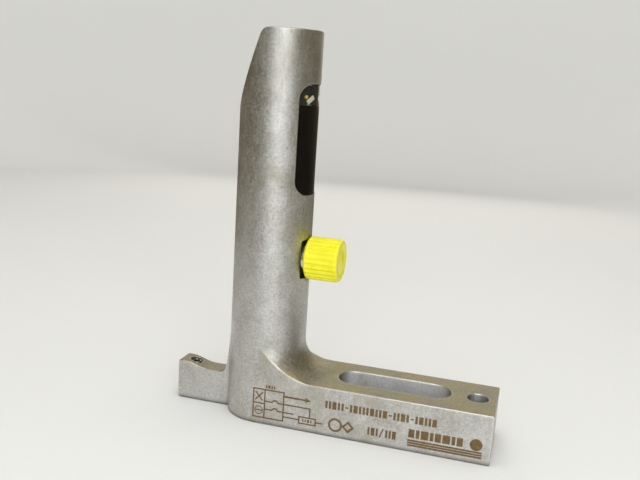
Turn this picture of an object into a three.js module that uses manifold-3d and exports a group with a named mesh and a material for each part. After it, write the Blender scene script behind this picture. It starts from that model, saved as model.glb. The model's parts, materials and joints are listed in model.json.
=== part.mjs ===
// A photoelectric sensor in a machined steel housing: a round tower with a sloped back and a
// window near its top, a foot with a mounting slot and a dowel hole, and a small lug with a
// set screw. A round plug connector under a screwed protective cap stands out of the tower.
//
// Millimetres, +Z up. The origin is where the tower's axis meets the base plane, +X runs along
// the foot, and the part is symmetric about the XZ plane but for its wiring.

import * as THREE from "three";
import { mergeVertices } from "three/addons/utils/BufferGeometryUtils.js";
import Module from "manifold-3d";

// ---------------------------------------------------------------- driving dimensions

const TOWER_RADIUS = 15;
const TOWER_HEIGHT = 150;
const EDGE_BREAK = 0.5;

const SLOPE_START_Z = 117.5; // the sloped back leaves the tower's rear line here
const SLOPE_ANGLE = THREE.MathUtils.degToRad(20.5); // from the vertical
const SLOPE_TOP_RADIUS = 4; // rounding between the sloped back and the top face

const FOOT_END_X = 91.7;
const FOOT_HALF_WIDTH = TOWER_RADIUS;
const FOOT_HEIGHT = 19.2;
const ROOT_FILLET = 12.5; // turned fillet between tower and foot
const SLOT_NEAR_X = 37.2;
const SLOT_FAR_X = 67.7;
const SLOT_RADIUS = 6.8;
const DOWEL_X = 84.5;
const DOWEL_RADIUS = 4;

const LUG_END_X = -37;
const LUG_HALF_WIDTH = 4.4;
const LUG_LAND_Z = 16.3; // the land round the tapped hole
const LUG_WAIST_Z = 14.1; // the scooped part between the land and the tower
const LUG_LAND_END_X = -34.8;
const LUG_WAIST_START_X = -23.5;
const LUG_WAIST_END_X = -19;
const LUG_LOWER_CORNER = 1.8;
const LUG_UPPER_CORNER = 1.2;
const LUG_SIDE_FILLET = 3;
const LUG_ROOT_TOP_Z = 31; // the lug's root fades into the tower here
const LUG_HOLE_X = -30.8;
const LUG_HOLE_RADIUS = 2.4;

const BORE_RADIUS = 9.5;
const BORE_TOP_Z = 122;
const UPPER_BORE_RADIUS = 7.5; // keeps its distance from the sloped back
const UPPER_BORE_TOP_Z = 132;

const WINDOW_BOTTOM_Z = 89.7;
const WINDOW_TOP_Z = 130.9;
const WINDOW_HALF_WIDTH = 10.4;
const WINDOW_CORNER = 5.3;
const WINDOW_SPLIT_Z = 123.1; // filter below, clear indicator lens above
const WINDOW_LEDGE_X = 8.4;
const WINDOW_OPENING_INSET = 2.8;
const WINDOW_RECESS = 0.25; // outer faces lie this far inside the tower's surface
const WINDOW_CLEARANCE = 0.25;
const WINDOW_BACK_X = 9.3;

const CONNECTOR_Z = 65;
const POCKET_BOTTOM_Z = 57.5;
const POCKET_TOP_Z = 72.5;
const POCKET_HALF_WIDTH = 6.5;
const POCKET_FLOOR_X = 12.2;
const POCKET_CORNER = 0.8;
const CONNECTOR_HOLE_RADIUS = 5.5;

const THREAD_RADIUS = 5.95; // M12 x 1
const SHELL_BACK_X = 7;
const SHELL_FRONT_X = 25.4;
const SHELL_BORE_RADIUS = 4.45;
const HEX_BACK_X = 13.5;
const HEX_FRONT_X = 14.5;
const HEX_HALF_FLATS = 6.1;
const INSERT_RADIUS = 4.2;
const INSERT_BACK_X = 7.4;
const INSERT_FRONT_X = 16;
const PIN_RADIUS = 0.5;
const PIN_CIRCLE_RADIUS = 2.5;
const PIN_BACK_X = 3.4;
const PIN_FRONT_X = 23.6;

const CAP_RADIUS = 8.35;
const CAP_RIM_RADIUS = 7.45; // the rim dips into the pocket
const CAP_BACK_X = 14.75;
const CAP_SHOULDER_X = 15.1; // just clear of the tower's surface
const CAP_FRONT_X = 28.1;
const CAP_BORE_RADIUS = 6.25;
const CAP_BORE_END_X = 26.1;
const CAP_CHAMFER = 0.6;

const BOARD_FRONT_X = -2.2;
const BOARD_BACK_X = -3.8;
const BOARD_HALF_WIDTH = 7.3;
const BOARD_BOTTOM_Z = 46;
const BOARD_TOP_Z = 121;
const EMITTER_Z = 100.3;
const RECEIVER_Z = 114.3;
const LENS_RADIUS = 4.2;
const LENS_BACK_X = 4.6;
const LENS_RIM_X = 5.4;
const LENS_FRONT_X = 7.6;
const CARRIER_BACK_X = 0.6;
const CARRIER_FRONT_X = 8.1;
const CARRIER_HALF_WIDTH = 6.9;
const CARRIER_BOTTOM_Z = 93.6;
const CARRIER_TOP_Z = 121.4;

const INDICATOR_Z = 126.7;
const PLATE_BACK_X = 2; // the little board behind the indicator lens
const PLATE_FRONT_X = 3;
const PLATE_HALF_WIDTH = 5.2;
const PLATE_BOTTOM_Z = 123.4;
const PLATE_TOP_Z = 130.6;
const LED_HALF_WIDTH = 1.6;
const LED_HALF_HEIGHT = 1.4;
const LED_THICKNESS = 1;
const LED_DOME_RADIUS = 1.2;
const LED_DOME_HEIGHT = 0.8;
const RIBBON_THICKNESS = 0.3;
const RIBBON_HALF_WIDTH = 2;

// Surface-mount parts: side 1 is the board's front and -1 its back, and leads are per long side.
const PACKAGES = {
  controller_chip: { side: 1, y: 0, z: 85, halfY: 2, halfZ: 2.5, height: 1.8, leads: 4 },
  output_transistor: { side: 1, y: 3.6, z: 77.5, halfY: 1.3, halfZ: 1.5, height: 1.4, leads: 2 },
  protection_diode: { side: 1, y: -3.4, z: 77.5, halfY: 1.6, halfZ: 1.2, height: 1.9, leads: 1 },
  voltage_regulator: { side: -1, y: 0, z: 92, halfY: 1.8, halfZ: 3.2, height: 1.8, leads: 3 },
  smoothing_capacitor: { side: -1, y: 0, z: 75, halfY: 2.2, halfZ: 3.6, height: 2.9, leads: 1 },
};

const FLAT_GAP = 0.1; // between parallel faces that rest on each other
const ROUND_STEPS = 72; // sides of the large turned shapes
const FILLET_STEPS = 96;
const BORE_STEPS = 48;
const SMALL_STEPS = 32;
const TINY_STEPS = 12;

// ---------------------------------------------------------------- solids and placing

const wasm = await Module();
wasm.setup();

/** A closed three.js geometry as a solid that can be joined and cut. */
function solidOf(geometry) {
  const bare = new THREE.BufferGeometry();
  const source = geometry.index ? geometry.toNonIndexed() : geometry;
  bare.setAttribute("position", source.getAttribute("position"));
  const merged = mergeVertices(bare, 1e-4);
  return new wasm.Manifold(
    new wasm.Mesh({
      numProp: 3,
      vertProperties: merged.getAttribute("position").array,
      triVerts: new Uint32Array(merged.index.array),
    }),
  );
}

/** A solid back as a three.js geometry. */
function geometryOf(solid) {
  const made = solid.getMesh();
  const geometry = new THREE.BufferGeometry();
  geometry.setAttribute("position", new THREE.BufferAttribute(made.vertProperties, 3));
  geometry.setIndex(new THREE.BufferAttribute(made.triVerts, 1));
  geometry.computeVertexNormals();
  return geometry;
}

/** A profile of [radius, height] points, turned about the Z axis. */
function turnedZ(profile, steps = ROUND_STEPS) {
  const points = profile.map(([radius, height]) => new THREE.Vector2(radius, height));
  return new THREE.LatheGeometry(points, steps).rotateX(Math.PI / 2);
}

/** A profile of [radius, x] points, turned about the line through (y, z) along X. */
function turnedX(profile, steps = SMALL_STEPS, y = 0, z = 0) {
  const points = profile.map(([radius, along]) => new THREE.Vector2(radius, along));
  return new THREE.LatheGeometry(points, steps).rotateZ(-Math.PI / 2).translate(0, y, z);
}

/** A solid rod along X between two stations, round the line through (y, z). */
function rodX(radius, from, to, steps = SMALL_STEPS, y = 0, z = 0) {
  const profile = [[0, from], [radius, from], [radius, to], [0, to]];
  return turnedX(profile, steps, y, z);
}

/** A solid rod along Z between two heights, round the line through (x, y). */
function rodZ(radius, from, to, steps = SMALL_STEPS, x = 0, y = 0) {
  const profile = [[0, from], [radius, from], [radius, to], [0, to]];
  return turnedZ(profile, steps).translate(x, y, 0);
}

/** A shape drawn in (x, y), extruded between two heights. */
function extrudedZ(shape, from, to, curveSegments = 12) {
  const options = { depth: to - from, bevelEnabled: false, curveSegments };
  return new THREE.ExtrudeGeometry(shape, options).translate(0, 0, from);
}

/** A shape drawn in (y, z), extruded between two stations along X. */
function extrudedX(shape, from, to, curveSegments = 12) {
  const turn = new THREE.Matrix4().makeBasis(
    new THREE.Vector3(0, 1, 0),
    new THREE.Vector3(0, 0, 1),
    new THREE.Vector3(1, 0, 0),
  );
  return extrudedZ(shape, from, to, curveSegments).applyMatrix4(turn);
}

/** A shape drawn in (x, z), extruded to both sides of the XZ plane. */
function extrudedY(shape, halfDepth, curveSegments = 12) {
  return extrudedZ(shape, -halfDepth, halfDepth, curveSegments).rotateX(Math.PI / 2);
}

/** A box between two corners. */
function block([x0, y0, z0], [x1, y1, z1]) {
  const box = new THREE.BoxGeometry(x1 - x0, y1 - y0, z1 - z0);
  return box.translate((x0 + x1) / 2, (y0 + y1) / 2, (z0 + z1) / 2);
}

/** A rectangle with rounded corners between two corners of the drawing plane. */
function roundedRectangle([left, bottom], [right, top], radius, path = new THREE.Shape()) {
  const quarter = Math.PI / 2;
  path.absarc(right - radius, top - radius, radius, 0, quarter);
  path.absarc(left + radius, top - radius, radius, quarter, 2 * quarter);
  path.absarc(left + radius, bottom + radius, radius, 2 * quarter, 3 * quarter);
  path.absarc(right - radius, bottom + radius, radius, 3 * quarter, 4 * quarter);
  path.closePath();
  return path;
}

/** A polygon through [a, b] points of the drawing plane. */
function polygon(points) {
  return new THREE.Shape(points.map(([a, b]) => new THREE.Vector2(a, b)));
}

/** Several geometries joined into one solid. */
function joined(...geometries) {
  return geometries.map(solidOf).reduce((whole, piece) => whole.add(piece));
}

const sensor = new THREE.Group();

/** Adds one named piece with a material of its own. */
function place(name, geometry, colour, roughness, metalness, opacity = 1) {
  const material = new THREE.MeshStandardMaterial({ color: colour, roughness, metalness });
  material.transparent = opacity < 1;
  material.opacity = opacity;
  const piece = new THREE.Mesh(geometry, material);
  piece.name = name;
  sensor.add(piece);
}

const STEEL = 0xada89c;
const NICKEL = 0xc9c6bd;
const GOLD = 0xc9a248;
const BLACK = 0x111111;
const YELLOW = 0xf2e422;
const BOARD_GREEN = 0x1f5b33;
const TANTALUM = 0xc8862a;

// ---------------------------------------------------------------- housing

/** What the sloped back removes from the tower, with its rounding into the top face. */
function slopeCutter() {
  const cornerX = -TOWER_RADIUS + (TOWER_HEIGHT - SLOPE_START_Z) * Math.tan(SLOPE_ANGLE);
  const turn = Math.PI / 2 - SLOPE_ANGLE;
  const arcX = cornerX + SLOPE_TOP_RADIUS * Math.tan(turn / 2);
  const arcZ = TOWER_HEIGHT - SLOPE_TOP_RADIUS;
  const below = 10;
  const beyond = 4;
  const cutter = new THREE.Shape();
  cutter.moveTo(-TOWER_RADIUS - below * Math.tan(SLOPE_ANGLE), SLOPE_START_Z - below);
  cutter.lineTo(
    arcX - SLOPE_TOP_RADIUS * Math.cos(SLOPE_ANGLE),
    arcZ + SLOPE_TOP_RADIUS * Math.sin(SLOPE_ANGLE),
  );
  cutter.absarc(arcX, arcZ, SLOPE_TOP_RADIUS, Math.PI - SLOPE_ANGLE, Math.PI / 2, true);
  cutter.lineTo(arcX, TOWER_HEIGHT + beyond);
  cutter.lineTo(-TOWER_RADIUS - 2 * beyond, TOWER_HEIGHT + beyond);
  cutter.lineTo(-TOWER_RADIUS - 2 * beyond, SLOPE_START_Z - below);
  cutter.closePath();
  return extrudedY(cutter, TOWER_RADIUS + beyond, 8);
}

/** The turned fillet over the foot, between the foot's two flat sides. */
function rootFillet() {
  const outerRadius = TOWER_RADIUS + ROOT_FILLET;
  const topZ = FOOT_HEIGHT + ROOT_FILLET;
  const overlap = 1;
  const steps = 9;
  const profile = [[0, FOOT_HEIGHT - overlap], [outerRadius, FOOT_HEIGHT - overlap]];
  for (let i = 0; i <= steps; i++) {
    const angle = (i / steps) * (Math.PI / 2);
    profile.push([outerRadius - ROOT_FILLET * Math.sin(angle), topZ - ROOT_FILLET * Math.cos(angle)]);
  }
  profile.push([0, topZ]);
  const overFoot = block(
    [0, -FOOT_HALF_WIDTH, FOOT_HEIGHT - overlap],
    [outerRadius, FOOT_HALF_WIDTH, topZ],
  );
  return solidOf(turnedZ(profile, FILLET_STEPS)).intersect(solidOf(overFoot));
}

/** The lug seen from the side: rounded corners, a land round the hole and a scooped waist. */
function lugSide() {
  const halfTurn = Math.PI;
  const lower = LUG_LOWER_CORNER;
  const upper = LUG_UPPER_CORNER;
  const rise = (LUG_WAIST_START_X - LUG_LAND_END_X) * 0.4;
  const side = new THREE.Shape();
  side.moveTo(0, 0);
  side.lineTo(LUG_END_X + lower, 0);
  side.absarc(LUG_END_X + lower, lower, lower, -halfTurn / 2, -halfTurn, true);
  side.absarc(LUG_END_X + upper, LUG_LAND_Z - upper, upper, halfTurn, halfTurn / 2, true);
  side.lineTo(LUG_LAND_END_X, LUG_LAND_Z);
  side.bezierCurveTo(
    LUG_LAND_END_X + rise, LUG_LAND_Z,
    LUG_WAIST_START_X - rise, LUG_WAIST_Z,
    LUG_WAIST_START_X, LUG_WAIST_Z,
  );
  side.lineTo(LUG_WAIST_END_X, LUG_WAIST_Z);
  side.bezierCurveTo(
    -TOWER_RADIUS - 0.2, LUG_WAIST_Z,
    -TOWER_RADIUS - 0.6, LUG_WAIST_Z + 4,
    -TOWER_RADIUS + 0.6, LUG_ROOT_TOP_Z,
  );
  side.lineTo(0, LUG_ROOT_TOP_Z);
  side.closePath();
  return side;
}

/** The lug seen from above, flaring into the tower through a fillet on each side. */
function lugPlan() {
  const centreY = LUG_HALF_WIDTH + LUG_SIDE_FILLET;
  const centreX = -Math.sqrt((TOWER_RADIUS + LUG_SIDE_FILLET) ** 2 - centreY ** 2);
  const toAxis = Math.atan2(centreY, -centreX);
  const quarter = Math.PI / 2;
  const plan = new THREE.Shape();
  plan.moveTo(0, LUG_HALF_WIDTH);
  plan.lineTo(0, -LUG_HALF_WIDTH);
  plan.absarc(centreX, -centreY, LUG_SIDE_FILLET, toAxis, quarter);
  plan.lineTo(LUG_END_X - 1, -LUG_HALF_WIDTH);
  plan.lineTo(LUG_END_X - 1, LUG_HALF_WIDTH);
  plan.absarc(centreX, centreY, LUG_SIDE_FILLET, -quarter, -toAxis);
  plan.closePath();
  return plan;
}

function windowOutline(inset) {
  return roundedRectangle(
    [-WINDOW_HALF_WIDTH + inset, WINDOW_BOTTOM_Z + inset],
    [WINDOW_HALF_WIDTH - inset, WINDOW_TOP_Z - inset],
    WINDOW_CORNER - inset,
  );
}

function makeHousing() {
  const beyond = 2;
  const tower = turnedZ([
    [0, 0],
    [TOWER_RADIUS - EDGE_BREAK, 0],
    [TOWER_RADIUS, EDGE_BREAK],
    [TOWER_RADIUS, TOWER_HEIGHT - EDGE_BREAK],
    [TOWER_RADIUS - EDGE_BREAK, TOWER_HEIGHT],
    [0, TOWER_HEIGHT],
  ]);
  const foot = block([0, -FOOT_HALF_WIDTH, 0], [FOOT_END_X, FOOT_HALF_WIDTH, FOOT_HEIGHT]);
  const lug = solidOf(extrudedY(lugSide(), TOWER_RADIUS)).intersect(
    solidOf(extrudedZ(lugPlan(), -1, LUG_ROOT_TOP_Z + beyond)),
  );

  const slot = new THREE.Shape();
  slot.absarc(SLOT_FAR_X, 0, SLOT_RADIUS, -Math.PI / 2, Math.PI / 2);
  slot.absarc(SLOT_NEAR_X, 0, SLOT_RADIUS, Math.PI / 2, 1.5 * Math.PI);
  const connectorPocket = roundedRectangle(
    [-POCKET_HALF_WIDTH, POCKET_BOTTOM_Z],
    [POCKET_HALF_WIDTH, POCKET_TOP_Z],
    POCKET_CORNER,
  );
  const cuts = [
    slopeCutter(),
    rodZ(BORE_RADIUS, -beyond, BORE_TOP_Z, BORE_STEPS),
    rodZ(UPPER_BORE_RADIUS, BORE_TOP_Z - beyond, UPPER_BORE_TOP_Z, BORE_STEPS),
    extrudedX(windowOutline(0), WINDOW_LEDGE_X, TOWER_RADIUS + beyond),
    extrudedX(windowOutline(WINDOW_OPENING_INSET), 0, WINDOW_LEDGE_X + beyond),
    extrudedX(connectorPocket, POCKET_FLOOR_X, TOWER_RADIUS + beyond, 4),
    rodX(CONNECTOR_HOLE_RADIUS, 0, TOWER_RADIUS, SMALL_STEPS, 0, CONNECTOR_Z),
    extrudedZ(slot, -beyond, FOOT_HEIGHT + beyond, 24),
    rodZ(DOWEL_RADIUS, -beyond, FOOT_HEIGHT + beyond, SMALL_STEPS, DOWEL_X),
    rodZ(LUG_HOLE_RADIUS, -beyond, LUG_LAND_Z + beyond, SMALL_STEPS, LUG_HOLE_X),
  ];
  const blank = joined(tower, foot).add(rootFillet()).add(lug);
  const finished = cuts.map(solidOf).reduce((part, cut) => part.subtract(cut), blank);
  place("housing", geometryOf(finished), STEEL, 0.45, 0.9);
}

// ---------------------------------------------------------------- window and optics

function makeWindow() {
  const outline = extrudedX(windowOutline(WINDOW_CLEARANCE), WINDOW_BACK_X, TOWER_RADIUS + 1);
  const skin = rodZ(
    TOWER_RADIUS - WINDOW_RECESS, WINDOW_BOTTOM_Z - 1, WINDOW_TOP_Z + 1, 2 * ROUND_STEPS,
  );
  const pane = solidOf(outline).intersect(solidOf(skin));
  const reach = 2 * TOWER_RADIUS;
  const below = block([0, -reach, 0], [reach, reach, WINDOW_SPLIT_Z - FLAT_GAP]);
  const above = block([0, -reach, WINDOW_SPLIT_Z + FLAT_GAP], [reach, reach, TOWER_HEIGHT]);
  place("filter_window", geometryOf(pane.intersect(solidOf(below))), BLACK, 0.08, 0);
  place("indicator_lens", geometryOf(pane.intersect(solidOf(above))), 0x5a625a, 0.05, 0, 0.35);

  const gasket = windowOutline(WINDOW_CLEARANCE);
  gasket.holes.push(windowOutline(WINDOW_OPENING_INSET - 0.4));
  const gasketFront = WINDOW_BACK_X - FLAT_GAP;
  place(
    "window_gasket",
    extrudedX(gasket, WINDOW_LEDGE_X + FLAT_GAP, gasketFront),
    BLACK, 0.8, 0,
  );
}

/** The turned profile of a dome on a short rod: flat back, straight rim, domed front. */
function domedProfile(radius, backX, rimX, frontX, domeSteps = 6) {
  const profile = [[0, backX], [radius, backX]];
  for (let i = 0; i <= domeSteps; i++) {
    const angle = (i / domeSteps) * (Math.PI / 2);
    profile.push([radius * Math.cos(angle), rimX + (frontX - rimX) * Math.sin(angle)]);
  }
  profile[profile.length - 1][0] = 0;
  return profile;
}

function makeOptics() {
  const channelRadius = LENS_RADIUS + 0.3;
  const body = block(
    [CARRIER_BACK_X, -CARRIER_HALF_WIDTH, CARRIER_BOTTOM_Z],
    [CARRIER_FRONT_X, CARRIER_HALF_WIDTH, CARRIER_TOP_Z],
  );
  const channels = [EMITTER_Z, RECEIVER_Z].map((z) =>
    rodX(channelRadius, CARRIER_BACK_X - 1, CARRIER_FRONT_X + 1, SMALL_STEPS, 0, z),
  );
  const carrier = channels.map(solidOf).reduce((part, cut) => part.subtract(cut), solidOf(body));
  place("lens_carrier", geometryOf(carrier), BLACK, 0.7, 0);

  const lensProfile = domedProfile(LENS_RADIUS, LENS_BACK_X, LENS_RIM_X, LENS_FRONT_X);
  place("emitter_lens", turnedX(lensProfile, SMALL_STEPS, 0, EMITTER_Z), 0xd8e4e8, 0.05, 0, 0.4);
  place("receiver_lens", turnedX(lensProfile, SMALL_STEPS, 0, RECEIVER_Z), 0xd8e4e8, 0.05, 0, 0.4);

  const seatX = BOARD_FRONT_X + FLAT_GAP;
  const bulbRadius = 2.5;
  const bulbRimX = 1.4;
  const flange = rodX(bulbRadius + 0.4, seatX, seatX + 1, 24, 0, EMITTER_Z);
  const bulb = turnedX(
    domedProfile(bulbRadius, seatX, bulbRimX, bulbRimX + bulbRadius), 24, 0, EMITTER_Z,
  );
  place("emitter_led", geometryOf(joined(flange, bulb)), 0x9fb4c8, 0.1, 0, 0.6);

  const chipHalfWidth = 2.7;
  const chipHalfHeight = 2.2;
  const chip = block(
    [seatX, -chipHalfWidth, RECEIVER_Z - chipHalfHeight],
    [0, chipHalfWidth, RECEIVER_Z + chipHalfHeight],
  );
  const eye = turnedX(domedProfile(1.8, seatX, 0.2, 1.4), 24, 0, RECEIVER_Z);
  place("receiver_diode", geometryOf(joined(chip, eye)), 0x1a1a22, 0.15, 0);
}

// ---------------------------------------------------------------- boards and components

/** A surface-mount package on its side of the main board: a body with leads on both sides. */
function packageOnBoard({ side, y: centreY, z: centreZ, halfY, halfZ, height, leads }) {
  const faceX = side > 0 ? BOARD_FRONT_X : BOARD_BACK_X;
  const station = (near, far) => {
    const ends = [faceX + side * near, faceX + side * far];
    return [Math.min(...ends), Math.max(...ends)];
  };
  const [bodyLow, bodyHigh] = station(0.3, height);
  const [leadLow, leadHigh] = station(FLAT_GAP, 0.55);
  const leadReach = 1;
  const leadHalf = 0.22;
  const pieces = [
    block([bodyLow, centreY - halfY, centreZ - halfZ], [bodyHigh, centreY + halfY, centreZ + halfZ]),
  ];
  for (let i = 0; i < leads; i++) {
    const z = centreZ + ((i + 0.5) / leads - 0.5) * 2 * halfZ;
    pieces.push(
      block(
        [leadLow, centreY - halfY - leadReach, z - leadHalf],
        [leadHigh, centreY + halfY + leadReach, z + leadHalf],
      ),
    );
  }
  return geometryOf(joined(...pieces));
}

function makeElectronics() {
  const board = roundedRectangle(
    [-BOARD_HALF_WIDTH, BOARD_BOTTOM_Z],
    [BOARD_HALF_WIDTH, BOARD_TOP_Z],
    1,
  );
  place("main_board", extrudedX(board, BOARD_BACK_X, BOARD_FRONT_X, 3), BOARD_GREEN, 0.5, 0.1);

  const spineOuter = 9.2;
  const spineInner = 7.9;
  const spineBottom = BOARD_BOTTOM_Z - 2;
  const spineTop = BOARD_TOP_Z + 0.6;
  const rib = 1.5;
  const spine = turnedZ([
    [0, spineBottom],
    [spineOuter, spineBottom],
    [spineOuter, spineTop],
    [spineInner, spineTop],
    [spineInner, spineBottom + rib],
    [0, spineBottom + rib],
  ]);
  const behindBoard = block(
    [-BORE_RADIUS, -BORE_RADIUS, spineBottom - 1],
    [BOARD_BACK_X - FLAT_GAP, BORE_RADIUS, spineTop + 1],
  );
  const carrier = solidOf(spine).intersect(solidOf(behindBoard));
  place("board_carrier", geometryOf(carrier), 0x22242a, 0.7, 0);

  for (const [name, size] of Object.entries(PACKAGES)) {
    const isCapacitor = name === "smoothing_capacitor";
    place(name, packageOnBoard(size), isCapacitor ? TANTALUM : BLACK, 0.5, 0);
  }

  const plate = roundedRectangle(
    [-PLATE_HALF_WIDTH, PLATE_BOTTOM_Z],
    [PLATE_HALF_WIDTH, PLATE_TOP_Z],
    0.8,
  );
  place("indicator_board", extrudedX(plate, PLATE_BACK_X, PLATE_FRONT_X, 3), 0xe8e6da, 0.5, 0);

  const ledBackX = PLATE_FRONT_X + FLAT_GAP;
  const ledFrontX = ledBackX + LED_THICKNESS;
  const ledBody = block(
    [ledBackX, -LED_HALF_WIDTH, INDICATOR_Z - LED_HALF_HEIGHT],
    [ledFrontX, LED_HALF_WIDTH, INDICATOR_Z + LED_HALF_HEIGHT],
  );
  const domeProfile = domedProfile(
    LED_DOME_RADIUS, ledBackX, ledFrontX, ledFrontX + LED_DOME_HEIGHT, 4,
  );
  const ledDome = turnedX(domeProfile, 16, 0, INDICATOR_Z);
  place("status_led", geometryOf(joined(ledBody, ledDome)), 0xf2e9b0, 0.2, 0);
  place("board_link", extrudedY(ribbonSide(), RIBBON_HALF_WIDTH), 0xb0782c, 0.5, 0);
}

/** The flexible strip from the main board's front up to the back of the indicator board. */
function ribbonSide() {
  const lowX = BOARD_FRONT_X + FLAT_GAP;
  const highX = PLATE_BACK_X - FLAT_GAP;
  const startZ = BOARD_TOP_Z - 4;
  const bendZ = BOARD_TOP_Z + 0.6;
  const upperBendZ = PLATE_BOTTOM_Z + 1;
  const endZ = PLATE_TOP_Z - 1.6;
  const slack = 0.2;
  return polygon([
    [lowX, startZ],
    [lowX + RIBBON_THICKNESS, startZ],
    [lowX + RIBBON_THICKNESS, bendZ],
    [highX, upperBendZ],
    [highX, endZ],
    [highX - RIBBON_THICKNESS, endZ],
    [highX - RIBBON_THICKNESS, upperBendZ + slack],
    [lowX, bendZ + slack],
  ]);
}

// ---------------------------------------------------------------- connector and cap

/** The four contacts' places round the connector's axis, as [y, z]. */
const PIN_PLACES = [0, 1, 2, 3].map((i) => {
  const angle = Math.PI / 4 + (i * Math.PI) / 2;
  return [PIN_CIRCLE_RADIUS * Math.cos(angle), CONNECTOR_Z + PIN_CIRCLE_RADIUS * Math.sin(angle)];
});

function makeConnector() {
  const barrelRadius = CONNECTOR_HOLE_RADIUS - 0.3;
  const leadIn = 0.4;
  const shell = solidOf(
    turnedX(
      [
        [SHELL_BORE_RADIUS, SHELL_BACK_X],
        [barrelRadius, SHELL_BACK_X],
        [barrelRadius, HEX_BACK_X],
        [THREAD_RADIUS, HEX_BACK_X],
        [THREAD_RADIUS, SHELL_FRONT_X - leadIn],
        [THREAD_RADIUS - leadIn, SHELL_FRONT_X],
        [SHELL_BORE_RADIUS, SHELL_FRONT_X],
        [SHELL_BORE_RADIUS, SHELL_BACK_X],
      ],
      SMALL_STEPS, 0, CONNECTOR_Z,
    ),
  );
  const corner = HEX_HALF_FLATS / Math.cos(Math.PI / 6);
  const hexagon = polygon(
    [0, 1, 2, 3, 4, 5].map((i) => {
      const angle = Math.PI / 6 + (i * Math.PI) / 3 + Math.PI / 3;
      return [corner * Math.cos(angle), CONNECTOR_Z + corner * Math.sin(angle)];
    }),
  );
  const collar = solidOf(extrudedX(hexagon, HEX_BACK_X, HEX_FRONT_X)).subtract(
    solidOf(rodX(THREAD_RADIUS - 0.2, 0, CAP_FRONT_X, SMALL_STEPS, 0, CONNECTOR_Z)),
  );
  place("connector_shell", geometryOf(shell.add(collar)), NICKEL, 0.25, 1);

  const sealOutline = roundedRectangle(
    [-POCKET_HALF_WIDTH + 0.3, POCKET_BOTTOM_Z + 0.3],
    [POCKET_HALF_WIDTH - 0.3, POCKET_TOP_Z - 0.3],
    POCKET_CORNER,
  );
  const seal = solidOf(
    extrudedX(sealOutline, POCKET_FLOOR_X + FLAT_GAP, HEX_BACK_X - FLAT_GAP, 4),
  ).subtract(solidOf(rodX(CONNECTOR_HOLE_RADIUS, 0, TOWER_RADIUS, SMALL_STEPS, 0, CONNECTOR_Z)));
  place("connector_seal", geometryOf(seal), BLACK, 0.8, 0);

  const rod = rodX(INSERT_RADIUS, INSERT_BACK_X, INSERT_FRONT_X, SMALL_STEPS, 0, CONNECTOR_Z);
  const insert = PIN_PLACES.reduce(
    (part, [y, z]) => part.subtract(solidOf(rodX(PIN_RADIUS + 0.15, 0, TOWER_RADIUS + 5, 12, y, z))),
    solidOf(rod),
  );
  place("connector_insert", geometryOf(insert), BLACK, 0.6, 0);

  PIN_PLACES.forEach(([y, z], i) => {
    const tip = 0.2;
    const profile = [
      [0, PIN_BACK_X],
      [PIN_RADIUS, PIN_BACK_X],
      [PIN_RADIUS, PIN_FRONT_X - tip],
      [PIN_RADIUS - tip, PIN_FRONT_X],
      [0, PIN_FRONT_X],
    ];
    place("contact_pin_" + (i + 1), turnedX(profile, TINY_STEPS, y, z), GOLD, 0.25, 1);
  });
}

/** Four insulated leads, each from the back of a contact down to its pad on the main board. */
function makeLeads() {
  const leadRadius = 0.5;
  const padZ = 52;
  const padYs = [4.5, -4.5, -1.5, 1.5];
  const colours = [0x6b4423, 0xe8e8e8, 0x2244aa, 0x151515];
  const section = new THREE.Shape().absarc(0, 0, leadRadius, 0, 2 * Math.PI);
  PIN_PLACES.forEach(([y, z], i) => {
    const padY = padYs[i];
    const path = new THREE.CatmullRomCurve3([
      new THREE.Vector3(PIN_BACK_X - 0.3, y, z),
      new THREE.Vector3(1.6, y, z - 0.2),
      new THREE.Vector3(0.2, (y + padY) / 2, z - 5),
      new THREE.Vector3(0.1, padY, padZ + 3),
      new THREE.Vector3(BOARD_FRONT_X + 0.3, padY, padZ),
    ]);
    const options = { steps: 18, bevelEnabled: false, extrudePath: path, curveSegments: 4 };
    place("lead_wire_" + (i + 1), new THREE.ExtrudeGeometry(section, options), colours[i], 0.6, 0);
  });
}

function makeCap() {
  const edge = 0.2;
  const cap = turnedX(
    [
      [0, CAP_BORE_END_X],
      [CAP_BORE_RADIUS, CAP_BORE_END_X],
      [CAP_BORE_RADIUS, CAP_BACK_X],
      [CAP_RIM_RADIUS, CAP_BACK_X],
      [CAP_RIM_RADIUS, CAP_SHOULDER_X],
      [CAP_RADIUS - edge, CAP_SHOULDER_X],
      [CAP_RADIUS, CAP_SHOULDER_X + edge],
      [CAP_RADIUS, CAP_FRONT_X - CAP_CHAMFER],
      [CAP_RADIUS - CAP_CHAMFER, CAP_FRONT_X],
      [0, CAP_FRONT_X],
    ],
    48, 0, CONNECTOR_Z,
  );
  place("protective_cap", cap, YELLOW, 0.4, 0);

  const sealInner = SHELL_BORE_RADIUS + 0.15;
  const sealOuter = THREAD_RADIUS - 0.05;
  const sealBackX = SHELL_FRONT_X + 0.15;
  const sealFrontX = CAP_BORE_END_X - 0.15;
  const ring = turnedX(
    [
      [sealInner, sealBackX],
      [sealOuter, sealBackX],
      [sealOuter, sealFrontX],
      [sealInner, sealFrontX],
      [sealInner, sealBackX],
    ],
    SMALL_STEPS, 0, CONNECTOR_Z,
  );
  place("cap_seal", ring, BLACK, 0.8, 0);
}

// ---------------------------------------------------------------- closing disc and lug screw

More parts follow.
